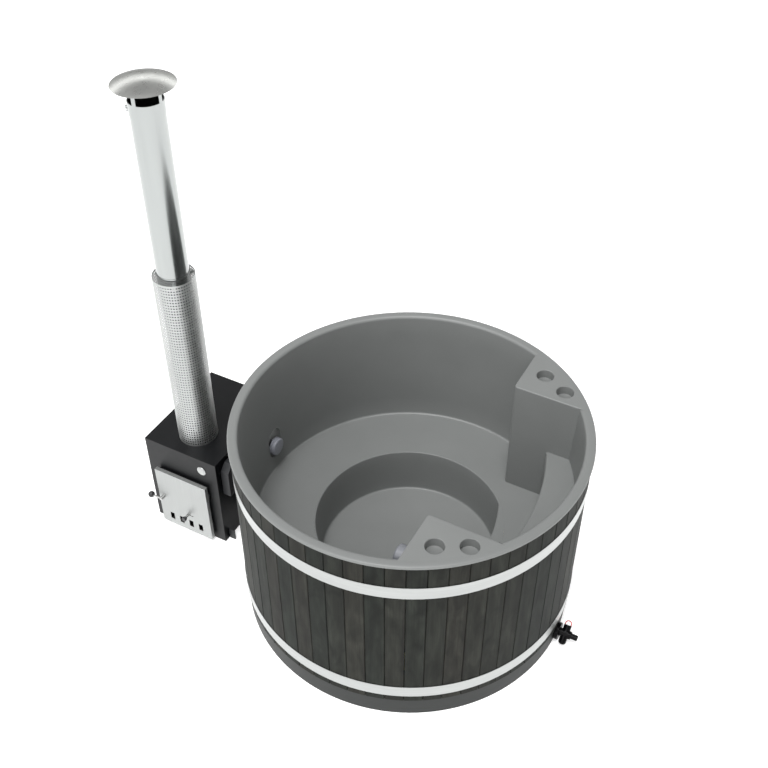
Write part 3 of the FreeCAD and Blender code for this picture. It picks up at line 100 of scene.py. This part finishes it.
def shading_group():
    """Geometry nodes that join the triangles of a solid and shade them smooth between sharp edges."""
    group = bpy.data.node_groups.new("smooth below thirty degrees", "GeometryNodeTree")
    for direction in ("INPUT", "OUTPUT"):
        group.interface.new_socket("Geometry", in_out=direction, socket_type="NodeSocketGeometry")
    start = add(group, "NodeGroupInput")
    bare = add(group, "GeometryNodeRemoveAttribute", {"Geometry": start.outputs[0],
                                                      "Name": "custom_normal"})
    joined = add(group, "GeometryNodeMergeByDistance", {"Geometry": bare.outputs[0],
                                                        "Distance": JOIN_DISTANCE})
    smooth = add(group, "GeometryNodeSetShadeSmooth", {"Geometry": joined.outputs[0], "Shade Smooth": True},
                 domain="FACE")
    angle = add(group, "GeometryNodeInputMeshEdgeAngle")
    steep = add(group, "FunctionNodeCompare", {0: angle.outputs[0], 1: SHARP_EDGE},
                data_type="FLOAT", operation="GREATER_THAN")
    sharp = add(group, "GeometryNodeSetShadeSmooth", {"Geometry": smooth.outputs[0],
                                                      "Selection": steep.outputs[0],
                                                      "Shade Smooth": False}, domain="EDGE")
    add(group, "NodeGroupOutput", {0: sharp.outputs[0]})
    return group


SMOOTH = shading_group()


def dress(material, *names, edge_mm=0.0):
    """Gives CAD nodes a material and smooth shading, and broken edges of a width where one is named."""
    for name in names:
        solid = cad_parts[name]
        for slot in solid.material_slots:
            slot.material = material
        shade = solid.modifiers.new("smooth shading", "NODES")
        shade.node_group = SMOOTH
        if edge_mm:
            bevel = solid.modifiers.new("broken edges", "BEVEL")
            bevel.width = edge_mm / 1000
            bevel.segments = 2
            bevel.limit_method = "ANGLE"
            bevel.angle_limit = BROKEN_EDGE
            bevel.loop_slide = False
            bevel.harden_normals = True


plinth_plastic, tree, shader, place = new_material("rotomoulded polyethylene, dark grey")
colour, clouds = mottle(tree, place, "#242625", "#2c2e2d", 60)
finish_with(tree, shader, colour, clouds, (0.42, 0.56), 0.15)
shader.inputs["Specular IOR Level"].default_value = 0.2
dress(plinth_plastic, "base_plinth", edge_mm=2)

# Timber frame: sawn spruce joists and posts under the floor and the bench.
# Left raw from the saw, so the surface is dull. The grain runs along the joists.
timber, tree, shader, place = new_material("sawn spruce")
colour, clouds = mottle(tree, place, "#a98659", "#cfae7d", 14, (0.08, 1, 0.25), 6.0)
finish_with(tree, shader, colour, clouds, (0.65, 0.85), 0.3)
dress(timber, "timber_frame")

# Insulation: a board under the floor and a ring under the bench.
# Cut polyurethane foam, cream coloured, with open cells on the cut faces.
foam, tree, shader, place = new_material("polyurethane foam")
colour, clouds = mottle(tree, place, "#cdbf8e", "#e6dcb4", 6, detail=5.0)
finish_with(tree, shader, colour, clouds, (0.85, 0.95), 0.8)
dress(foam, "floor_insulation", "bench_insulation")

# Liner: wall with rim, bench, footwell, two consoles, entry step and inlet niche.
# One grey moulding of polyethylene, smooth on the inside, with a soft sheen and faint cloudy flow marks.
# The back of the niche is painted paler than the rest: painted light that lifts the shade inside the
# recess.
liner_plastic, tree, shader, place = new_material("moulded polyethylene, grey")
colour, clouds = mottle(tree, place, "#6a6c6b", "#707271", 160)
finish_with(tree, shader, colour, clouds, (0.42, 0.5), 0.12)
dress(liner_plastic, "liner_wall", "liner_bench", "liner_footwell", "console_far", "console_near",
      "entry_step")
PAINTED_LIGHT_FROM = 0.03
PAINTED_LIGHT_FULLY = 0.01
niche_plastic, tree, shader, place = new_material("moulded polyethylene, back painted light")
full, clouds = mottle(tree, place, "#6a6c6b", "#707271", 160)
# Paler liner colour for the back of the niche: painted light.
painted_light_tone = mottle(tree, place, "#a0a2a1", "#a8aaa9", 60)[0]
niche_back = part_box("inlet_niche")[0].x
across = add(tree, "ShaderNodeSeparateXYZ", {0: place})
painted_light_mask = add(tree, "ShaderNodeMapRange", {"Value": across.outputs[0], "From Min": niche_back + PAINTED_LIGHT_FROM,
                                         "From Max": niche_back + PAINTED_LIGHT_FULLY})
colour = add(tree, "ShaderNodeMix", {0: painted_light_mask.outputs[0], 6: full, 7: painted_light_tone}, data_type="RGBA")
finish_with(tree, shader, colour.outputs[2], clouds, (0.42, 0.5), 0.12)
dress(niche_plastic, "inlet_niche")

# Water fittings: inlet cover, overflow drum and floor strainer.
# Injection moulded ABS, a cooler grey than the liner and glossier. The inlet cover has painted light, a
# shade lighter, for its shade on the wall; the overflow drum and floor strainer have painted shade, a shade
# darker, under the light from above.
painted_light_plastic, tree, shader, place = new_material("moulded ABS, blue grey, painted light")
colour, clouds = mottle(tree, place, "#7c7e86", "#8b8d95", 25)
finish_with(tree, shader, colour, clouds, (0.28, 0.4), 0.05)
dress(painted_light_plastic, "inlet_cap", edge_mm=1)
# Darker copy of the same ABS: painted shade against the light from above.
painted_shade_plastic, tree, shader, place = new_material("moulded ABS, grey, painted shade")
colour, clouds = mottle(tree, place, "#63656a", "#6f7176", 25)
finish_with(tree, shader, colour, clouds, (0.34, 0.46), 0.05)
dress(painted_shade_plastic, "overflow_fitting", "floor_drain", edge_mm=1)

# Pipes: the inlet through the wall with its nut, and the run below the floor.
# Extruded PVC, dark grey, with faint lines along the run from the die.
pipe_plastic, tree, shader, place = new_material("extruded PVC, dark grey")
colour, clouds = mottle(tree, place, "#434446", "#4f5052", 8, (0.05, 1, 1))
finish_with(tree, shader, colour, clouds, (0.35, 0.5), 0.05)
dress(pipe_plastic, "inlet_spigot", "inlet_backnut", "bottom_pipe")

# Staves: fifty nine planed boards round the tub, held by the bands.
# Spruce with a black grey oil stain. The stain takes unevenly, so every board has its own tone and patches,
# and the grain runs upwards as lighter and darker streaks.
STAVE_COUNT = 59
FIBRE_MM = 7
FIGURE_MM = 38
PATCH_MM = 55
BOARD_SHIFT = (3, 3, 9)
stained_wood, tree, shader, place = new_material("stained spruce, black grey")
axes = add(tree, "ShaderNodeSeparateXYZ", {0: place})
around = add(tree, "ShaderNodeMath", {0: axes.outputs[1], 1: axes.outputs[0]}, operation="ARCTAN2")
turns = add(tree, "ShaderNodeMath", {0: around.outputs[0], 1: STAVE_COUNT / math.tau, 2: 0.5},
            operation="MULTIPLY_ADD")
board = add(tree, "ShaderNodeMath", {0: turns.outputs[0]}, operation="FLOOR")
chance = add(tree, "ShaderNodeTexWhiteNoise", {"W": board.outputs[0]}, noise_dimensions="1D")
shift = add(tree, "ShaderNodeVectorMath", {0: chance.outputs["Color"], 1: BOARD_SHIFT},
            operation="MULTIPLY")
spot = add(tree, "ShaderNodeVectorMath", {0: place, 1: shift.outputs[0]}, operation="ADD")
fine_grain = add(tree, "ShaderNodeVectorMath", {0: spot.outputs[0], 1: (1, 1, 0.03)}, operation="MULTIPLY")
fibres = add(tree, "ShaderNodeTexNoise", {"Vector": fine_grain.outputs[0], "Scale": 1000 / FIBRE_MM,
                                          "Detail": 5.0, "Roughness": 0.6})
wide_grain = add(tree, "ShaderNodeVectorMath", {0: spot.outputs[0], 1: (1, 1, 0.06)}, operation="MULTIPLY")
figure = add(tree, "ShaderNodeTexNoise", {"Vector": wide_grain.outputs[0], "Scale": 1000 / FIGURE_MM,
                                          "Detail": 2.0, "Distortion": 0.6})
streak = add(tree, "ShaderNodeMath", {0: fibres.outputs[0], 1: figure.outputs[0]}, operation="MULTIPLY")
uptake = add(tree, "ShaderNodeMapRange", {"Value": streak.outputs[0], "From Min": 0.12,
                                          "From Max": 0.42})
grain = add(tree, "ShaderNodeMix", {0: uptake.outputs[0], 6: srgb("#111311"), 7: srgb("#323530")},
            data_type="RGBA")
patch_spot = add(tree, "ShaderNodeVectorMath", {0: spot.outputs[0], 1: (1, 1, 0.35)}, operation="MULTIPLY")
patches = add(tree, "ShaderNodeTexNoise", {"Vector": patch_spot.outputs[0], "Scale": 1000 / PATCH_MM,
                                           "Detail": 3.0, "Distortion": 0.8})
uneven = add(tree, "ShaderNodeMapRange", {"Value": patches.outputs[0], "From Min": 0.3, "From Max": 0.7,
                                          "To Min": 0.46, "To Max": 1.22})
own_tone = add(tree, "ShaderNodeMapRange", {"Value": chance.outputs["Value"], "To Min": 0.7,
                                            "To Max": 1.06})
tone = add(tree, "ShaderNodeMath", {0: own_tone.outputs[0], 1: uneven.outputs[0]}, operation="MULTIPLY")
tint = add(tree, "ShaderNodeMix", {0: chance.outputs["Value"], 6: srgb("#1c241e"), 7: srgb("#29231d")},
           data_type="RGBA")
stain = add(tree, "ShaderNodeMix", {0: 0.35, 6: grain.outputs[2], 7: tint.outputs[2]}, data_type="RGBA")
toned = add(tree, "ShaderNodeHueSaturation", {"Color": stain.outputs[2], "Value": tone.outputs[0]})
finish_with(tree, shader, toned.outputs[0], fibres.outputs[0], (0.5, 0.72), 0.35)
shader.inputs["Specular IOR Level"].default_value = 0.12
dress(stained_wood, "staves")

# Bands: two hoops with lugs and bolts at the back.
# Stainless strip with a fine brushed finish that runs along the strip. The real lines are finer than a
# tenth of a millimetre and are drawn about five millimetres apart so that they show.
band_steel, tree, shader, place = new_material("brushed stainless strip")
colour, clouds = mottle(tree, place, "#a0a2a1", "#b8bab9", 40, (0.12, 0.12, 8), 4.0)
finish_with(tree, shader, colour, clouds, (0.26, 0.4), 0.02)
shader.inputs["Metallic"].default_value = 1.0
dress(band_steel, "upper_band", "lower_band")
dress(band_steel, "band_locks", "band_bolts", edge_mm=1)

# Drain valve: flange, body, hose tail and turning cap.
# Glass filled polypropylene, black, satin from the mould.
valve_plastic, tree, shader, place = new_material("glass filled polypropylene, black")
colour, clouds = mottle(tree, place, "#030304", "#080809", 6)
finish_with(tree, shader, colour, clouds, (0.2, 0.3), 0.05)
shader.inputs["Specular IOR Level"].default_value = 0.08
dress(valve_plastic, "valve_flange", "valve_body", "hose_tail", "valve_cap", edge_mm=0.8)

# Valve loop: the bail that turns the valve.
# Steel wire dipped in red PVC, glossy.
loop_vinyl, tree, shader, place = new_material("dipped PVC, red")
colour, clouds = mottle(tree, place, "#b3201c", "#c92e27", 8)
finish_with(tree, shader, colour, clouds, (0.2, 0.32), 0.02)
dress(loop_vinyl, "handle_loop")

# Valve ball: the bored ball inside the body.
# Turned brass, bright from the lathe.
ball_brass, tree, shader, place = new_material("turned brass")
colour, clouds = mottle(tree, place, "#b08a45", "#c9a75f", 4, (4, 1, 1))
finish_with(tree, shader, colour, clouds, (0.18, 0.3))
shader.inputs["Metallic"].default_value = 1.0
dress(ball_brass, "valve_ball")

# Stove casing: the box round the water jacket, with its feet, door frame and hinges.
# Folded and welded plate, sprayed with a heat resistant black that dries to a dull, slightly dusty coat.
# The side that faces the tub is given less sheen: painted shade that darkens it as the shadow of the tub
# would.
stove_paint, tree, shader, place = new_material("heat resistant paint, black")
colour, clouds = mottle(tree, place, "#060709", "#0c0d0f", 45)
finish_with(tree, shader, colour, clouds, (0.36, 0.48), 0.06)
# Less sheen on the side facing the tub: painted shade.
facing = add(tree, "ShaderNodeSeparateXYZ", {0: add(tree, "ShaderNodeTexCoord").outputs["Normal"]})
tub_side_painted_shade = add(tree, "ShaderNodeMapRange", {"Value": facing.outputs[0], "From Min": 0.3, "From Max": 0.8,
                                         "To Min": 0.26, "To Max": 0.05})
tree.links.new(tub_side_painted_shade.outputs[0], shader.inputs["Specular IOR Level"])
dress(stove_paint, "stove_casing", "door_frame", "hinge_brackets", "hinge_leaves", edge_mm=1.2)
dress(stove_paint, "stove_feet", edge_mm=1.5)

# Blank disc: the small round plate on the front of the stove.
# Plain stamped aluminium, dished in from a rolled edge and bonded flat on the casing.
DISC_ACROSS = -1.003
DISC_HEIGHT = 0.4765
DISC_PROFILE = ((0.0, 0.0019), (0.0195, 0.0019), (0.0207, 0.0023), (0.0220, 0.0030), (0.0232, 0.0032),
                (0.0243, 0.0027), (0.0250, 0.0016), (0.0250, 0.0001), (0.0, 0.0001))
DISC_SIDES = 64
disc_points = [(0.0, -DISC_PROFILE[0][1], 0.0), (0.0, -DISC_PROFILE[-1][1], 0.0)]
disc_faces = []
for side in range(DISC_SIDES):
    angle = math.tau * side / DISC_SIDES
    for radius, rise in DISC_PROFILE[1:-1]:
        disc_points.append((radius * math.cos(angle), -rise, radius * math.sin(angle)))
ring_size = len(DISC_PROFILE) - 2
for side in range(DISC_SIDES):
    here = 2 + side * ring_size
    after = 2 + (side + 1) % DISC_SIDES * ring_size
    disc_faces.append((0, here, after))
    for step in range(ring_size - 1):
        disc_faces.append((here + step, here + step + 1, after + step + 1, after + step))
    disc_faces.append((1, after + ring_size - 1, here + ring_size - 1))
disc_mesh = bpy.data.meshes.new("blank_disc")
disc_mesh.from_pydata(disc_points, [], disc_faces)
disc_mesh.shade_smooth()
disc = bpy.data.objects.new("blank_disc", disc_mesh)
disc.location = (DISC_ACROSS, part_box("stove_casing")[0].y, DISC_HEIGHT)
bpy.context.scene.collection.objects.link(disc)
disc_aluminium, tree, shader, place = new_material("stamped aluminium")
colour, clouds = mottle(tree, place, "#adafae", "#bbbdbc", 5, (1, 1, 6))
finish_with(tree, shader, colour, clouds, (0.36, 0.46), 0.02)
shader.inputs["Metallic"].default_value = 1.0
disc_mesh.materials.append(disc_aluminium)
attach(disc, "tub")

# Side brackets: the two brackets on the tub side of the stove.
# Steel plate in the same paint, coloured a shade lighter: painted light, so its face reads as lit beside
# the tub.
painted_light_bracket_paint, tree, shader, place = new_material("heat resistant paint, painted light")
# Lighter copy of the stove paint: painted light.
colour, clouds = mottle(tree, place, "#1c1d1f", "#262729", 30)
finish_with(tree, shader, colour, clouds, (0.4, 0.55), 0.06)
shader.inputs["Specular IOR Level"].default_value = 0.3
dress(painted_light_bracket_paint, "side_brackets", edge_mm=3)

# Firebox, grate, flue neck and water stubs: the unpainted parts of the stove.
# Plain mill steel and cast iron, browned and dulled by heat, the iron with the grit of its sand mould.
mill_steel, tree, shader, place = new_material("mill steel, heat browned")
colour, clouds = mottle(tree, place, "#4a4643", "#6b6763", 35, detail=5.0)
finish_with(tree, shader, colour, clouds, (0.45, 0.7), 0.1)
shader.inputs["Metallic"].default_value = 0.85
dress(mill_steel, "firebox", "stove_stubs", "flue_neck")
grate_iron, tree, shader, place = new_material("cast iron")
colour, clouds = mottle(tree, place, "#2b2826", "#3d3a37", 5, detail=5.0)
finish_with(tree, shader, colour, clouds, (0.6, 0.85), 0.4)
dress(grate_iron, "fire_grate", edge_mm=1)

# Hoses and clamps: the two water connections between stove and tub.
# Cloth wrapped EPDM rubber, dull black, held by stainless band clamps. The bright steel of the clamps is
# also that of the bolt at the rain cap and the hinge pins.
hose_rubber, tree, shader, place = new_material("EPDM rubber, cloth wrapped")
colour, clouds = mottle(tree, place, "#171717", "#242424", 3)
finish_with(tree, shader, colour, clouds, (0.6, 0.8), 0.25)
dress(hose_rubber, "upper_hose", "lower_hose")
clamp_steel, tree, shader, place = new_material("bright stainless")
colour, clouds = mottle(tree, place, "#bdbdbd", "#d3d3d3", 6, (6, 1, 1))
finish_with(tree, shader, colour, clouds, (0.18, 0.3))
shader.inputs["Metallic"].default_value = 1.0
dress(clamp_steel, "hose_clamps", "cap_clamp_bolt", "hinge_pins")

# Door gasket: the rope in the frame round the door opening.
# Braided glass fibre, pale grey.
rope_fibre, tree, shader, place = new_material("braided glass fibre rope")
colour, clouds = mottle(tree, place, "#77736c", "#a5a199", 3)
finish_with(tree, shader, colour, clouds, (0.8, 0.95), 0.5)
dress(rope_fibre, "door_gasket")

# Door: a folded pan with four vents, lined with board behind an inner frame, with the air slider's plate.
# Stainless sheet, brushed upright, with bare mill steel inside. The brush lines are finer than a tenth of a
# millimetre and are drawn about five millimetres apart so that they show.
door_steel, tree, shader, place = new_material("brushed stainless sheet")
colour, clouds = mottle(tree, place, "#a0a2a1", "#b0b2b1", 40, (8, 1, 0.15), 4.0)
finish_with(tree, shader, colour, clouds, (0.44, 0.54), 0.02)
shader.inputs["Metallic"].default_value = 1.0
dress(door_steel, "door_panel", edge_mm=0.8)
dress(mill_steel, "door_inner_frame", "slider_plate", "slider_guides", "latch_pawl")
lining_board, tree, shader, place = new_material("vermiculite board")
colour, clouds = mottle(tree, place, "#9d927c", "#c0b59e", 4, detail=5.0)
finish_with(tree, shader, colour, clouds, (0.85, 0.95), 0.5)
dress(lining_board, "door_liner")

# Latch: the lever on its spindle, with a ball knob at its end.
# Turned steel bar with fine lathe lines, and a black phenolic knob with a moulded gloss.
lever_steel, tree, shader, place = new_material("turned steel bar")
colour, clouds = mottle(tree, place, "#a2a2a1", "#bcbcbb", 6, (6, 1, 1))
finish_with(tree, shader, colour, clouds, (0.28, 0.42))
shader.inputs["Metallic"].default_value = 1.0
dress(lever_steel, "handle_lever", edge_mm=0.8)
knob_resin, tree, shader, place = new_material("phenolic resin, black")
colour, clouds = mottle(tree, place, "#1b1b1c", "#272729", 8)
finish_with(tree, shader, colour, clouds, (0.25, 0.4))
dress(knob_resin, "handle_knob", edge_mm=0.8)

# Air slider's knob: a black phenolic knob on a turned steel stalk that passes through the door.
# Both are one node, so one material changes from resin to steel where the knob ends, which is three
# quarters of its width behind its front.
KNOB_SHARE = 0.75
knob_low, knob_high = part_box("slider_knob")
knob_end = knob_low.y + KNOB_SHARE * (knob_high.x - knob_low.x)
stalk_finish, tree, shader, place = new_material("phenolic resin on a steel stalk")
resin, clouds = mottle(tree, place, "#1b1b1c", "#272729", 8)
steel = mottle(tree, place, "#8e8e8d", "#a8a8a7", 6, (1, 6, 1))[0]
along = add(tree, "ShaderNodeSeparateXYZ", {0: place})
is_stalk = add(tree, "ShaderNodeMath", {0: along.outputs[1], 1: knob_end}, operation="GREATER_THAN")
colour = add(tree, "ShaderNodeMix", {0: is_stalk.outputs[0], 6: resin, 7: steel}, data_type="RGBA")
finish_with(tree, shader, colour.outputs[2], clouds, (0.25, 0.4))
tree.links.new(is_stalk.outputs[0], shader.inputs["Metallic"])
dress(stalk_finish, "slider_knob", edge_mm=0.8)

# Flue: two pipes, the lower one with a socket, and the bracket that carries the rain cap.
# Rolled stainless sheet with a satin mill finish that mirrors its surroundings in long soft streaks.
flue_steel, tree, shader, place = new_material("satin stainless sheet")
colour, clouds = mottle(tree, place, "#a1a4a3", "#adb0af", 60, (2.5, 2.5, 0.08), 4.0)
finish_with(tree, shader, colour, clouds, (0.16, 0.22))
shader.inputs["Metallic"].default_value = 1.0
dress(flue_steel, "flue_lower", "flue_upper", "cap_bracket")

# Rain cap: the dome over the end of the flue.
# Spun stainless, so fine tool lines run round its axis and draw every highlight out towards the middle.
# The darker tint at a low angle keeps its far edge grey against the bright surround.
cap_steel, tree, shader, place = new_material("spun stainless")
colour, clouds = mottle(tree, place, "#b2b3b0", "#c4c5c2", 30, detail=4.0)
finish_with(tree, shader, colour, clouds, (0.25, 0.31))
shader.inputs["Metallic"].default_value = 1.0
shader.inputs["Anisotropic"].default_value = 0.35
shader.inputs["Specular Tint"].default_value = srgb("#989898")
spinning = add(tree, "ShaderNodeTangent", direction_type="RADIAL", axis="Z")
tree.links.new(spinning.outputs[0], shader.inputs["Tangent"])
dress(cap_steel, "rain_cap")

# Heat guard: the perforated tube round the lower pipe.
# Galvanised sheet punched with round holes in straight rows and columns, rolled and lapped at the back,
# hemmed at both ends, and held off the pipe by tabs.
guard_steel, tree, shader, place = new_material("galvanised sheet")
colour, clouds = mottle(tree, place, "#aeb0af", "#c0c2c1", 18, detail=2.0)
finish_with(tree, shader, colour, clouds, (0.4, 0.5), 0.03)
shader.inputs["Metallic"].default_value = 1.0
dress(guard_steel, "guard_spacers")

SHEET_THICKNESS = 0.001
COLUMN_PITCH = 0.012
ROW_PITCH = 0.0154
HOLE_RADIUS = 0.0042
HEM = 0.006
AROUND = ((1, 0), (1, 1), (0, 1), (-1, 1), (-1, 0), (-1, -1), (0, -1), (1, -1))
HOLE_SIDES = len(AROUND)
guard_low, guard_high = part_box("heat_guard")
guard_axis = (guard_low + guard_high) / 2
guard_radius = (guard_high.x - guard_low.x) / 2
punched_low = guard_low.z + HEM
punched_height = guard_high.z - guard_low.z - 2 * HEM
columns = round(math.tau * guard_radius / COLUMN_PITCH)
rows = round(punched_height / ROW_PITCH)
row_height = punched_height / rows
lap_column = columns // 4
corners = {}
guard_points = []
guard_faces = []


def on_guard(half_column, height):
    """A new point on the tube, at a place round it in half columns and a height in metres."""
    angle = math.tau * half_column / (2 * columns)
    guard_points.append((guard_axis.x + guard_radius * math.cos(angle),
                         guard_axis.y + guard_radius * math.sin(angle), height))
    return len(guard_points) - 1


def corner(half_column, half_row):
    """A shared point on the half grid of the sheet."""
    key = (half_column % (2 * columns), half_row)
    if key not in corners:
        corners[key] = on_guard(key[0], punched_low + half_row * row_height / 2)
    return corners[key]


for column in range(columns):
    for row in range(rows):
        middle = (2 * column + 1, 2 * row + 1)
        edge = [corner(middle[0] + u, middle[1] + v) for u, v in AROUND]
        if column == lap_column:
            guard_faces.append(edge)
            continue
        ring = []
        for step in range(HOLE_SIDES):
            angle = math.tau * step / HOLE_SIDES
            ring.append(on_guard(middle[0] + 2 * HOLE_RADIUS / COLUMN_PITCH * math.cos(angle),
                                 punched_low + (row + 0.5) * row_height + HOLE_RADIUS * math.sin(angle)))
        for step in range(HOLE_SIDES):
            following = (step + 1) % HOLE_SIDES
            guard_faces.append((edge[step], edge[following], ring[following], ring[step]))
for half_row, level in ((0, guard_low.z), (2 * rows, guard_high.z)):
    rim = [on_guard(half_column, level) for half_column in range(2 * columns)]
    for half_column in range(2 * columns):
        following = (half_column + 1) % (2 * columns)
        hem_face = (corner(half_column, half_row), rim[half_column], rim[following],
                    corner(following, half_row))
        guard_faces.append(hem_face if half_row == 0 else hem_face[::-1])
guard_mesh = bpy.data.meshes.new("perforated_guard")
guard_mesh.from_pydata(guard_points, [], guard_faces)
guard_mesh.materials.append(guard_steel)
guard = bpy.data.objects.new("perforated_guard", guard_mesh)
bpy.context.scene.collection.objects.link(guard)
thickness = guard.modifiers.new("sheet thickness", "SOLIDIFY")
thickness.thickness = SHEET_THICKNESS
thickness.offset = -1
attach(guard, "tub")
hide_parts("heat_guard")

# Studio: a pale light table lit from below, a bright surround that is dimmer overhead, soft lights from
# above and from the front, and strip lights round the far side of the rain cap for the shine on its dome.
# The camera stands where the photograph was taken from, above and to the right of the stove door.
FLOOR_HALF = 300
FLOOR_GLOW = 0.5
floor_mesh = bpy.data.meshes.new("floor")
floor_corners = [(FLOOR_HALF * x, FLOOR_HALF * y, 0) for x, y in ((-1, -1), (1, -1), (1, 1), (-1, 1))]
floor_mesh.from_pydata(floor_corners, [], [(0, 1, 2, 3)])
floor = bpy.data.objects.new("floor", floor_mesh)
bpy.context.scene.collection.objects.link(floor)
floor_panel, tree, shader, place = new_material("opal acrylic, lit from below")
colour, clouds = mottle(tree, place, "#dadada", "#e0e0e0", 900)
finish_with(tree, shader, colour, clouds, (0.7, 0.8))
shader.inputs["Emission Color"].default_value = srgb("#ffffff")
shader.inputs["Emission Strength"].default_value = FLOOR_GLOW
floor_mesh.materials.append(floor_panel)

world = bpy.data.worlds.new("studio")
world.use_nodes = True
tree = world.node_tree
outward = add(tree, "ShaderNodeSeparateXYZ", {0: add(tree, "ShaderNodeTexCoord").outputs["Generated"]})
drapes = add(tree, "ShaderNodeMapRange", {"Value": outward.outputs[2], "From Min": 0.3, "From Max": 0.55,
                                          "To Min": 1.0, "To Max": 0.45}, interpolation_type="SMOOTHSTEP")
tree.links.new(drapes.outputs[0], tree.nodes["Background"].inputs["Strength"])
tree.nodes["Background"].inputs["Color"].default_value = srgb("#ffffff")
bpy.context.scene.world = world


def soft_light(name, towards, spread, power):
    """A wide even light that shines along a direction and spreads over an angle in degrees."""
    lamp = bpy.data.lights.new(name, "SUN")
    lamp.angle = math.radians(spread)
    lamp.energy = power
    item = bpy.data.objects.new(name, lamp)
    item.rotation_mode = "QUATERNION"
    item.rotation_quaternion = Vector(towards).to_track_quat("-Z", "Y")
    bpy.context.scene.collection.objects.link(item)


soft_light("top_light", towards=(0, 0.2, -0.98), spread=20, power=2.4)
soft_light("front_light", towards=(0.06, 0.76, -0.64), spread=60, power=1.95)

STRIP_RING = 1.2
STRIP_RISE = 0.67
STRIP_LENGTH = 0.86
STRIP_WIDTH = 0.3
STRIP_POWER = 2.1
STRIP_TURNS = range(-100, 101, 40)
FAR_SIDE = 118.3
cap_low, cap_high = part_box("rain_cap")
cap_middle = (cap_low + cap_high) / 2
for turn in STRIP_TURNS:
    angle = math.radians(FAR_SIDE + turn)
    strip = bpy.data.lights.new("cap_light", "AREA")
    strip.shape = "RECTANGLE"
    strip.size = STRIP_LENGTH
    strip.size_y = STRIP_WIDTH
    strip.energy = STRIP_POWER
    item = bpy.data.objects.new("cap_light", strip)
    away = Vector((STRIP_RING * math.cos(angle), STRIP_RING * math.sin(angle), STRIP_RISE))
    item.location = cap_middle + away
    item.rotation_mode = "QUATERNION"
    item.rotation_quaternion = (-away).to_track_quat("-Z", "Y")
    bpy.context.scene.collection.objects.link(item)

CAMERA_SPOT = (1.49766, -3.02975, 4.22762)
CAMERA_TILT = 90 - 41.33
CAMERA_TURN = 28.31
lens = bpy.data.cameras.new("camera")
lens.lens = 50
lens.sensor_width = 36
camera = bpy.data.objects.new("camera", lens)
camera.location = CAMERA_SPOT
camera.rotation_euler = (math.radians(CAMERA_TILT), 0, math.radians(CAMERA_TURN))
bpy.context.scene.collection.objects.link(camera)
bpy.context.scene.camera = camera
bpy.context.scene.view_settings.view_transform = "Standard"
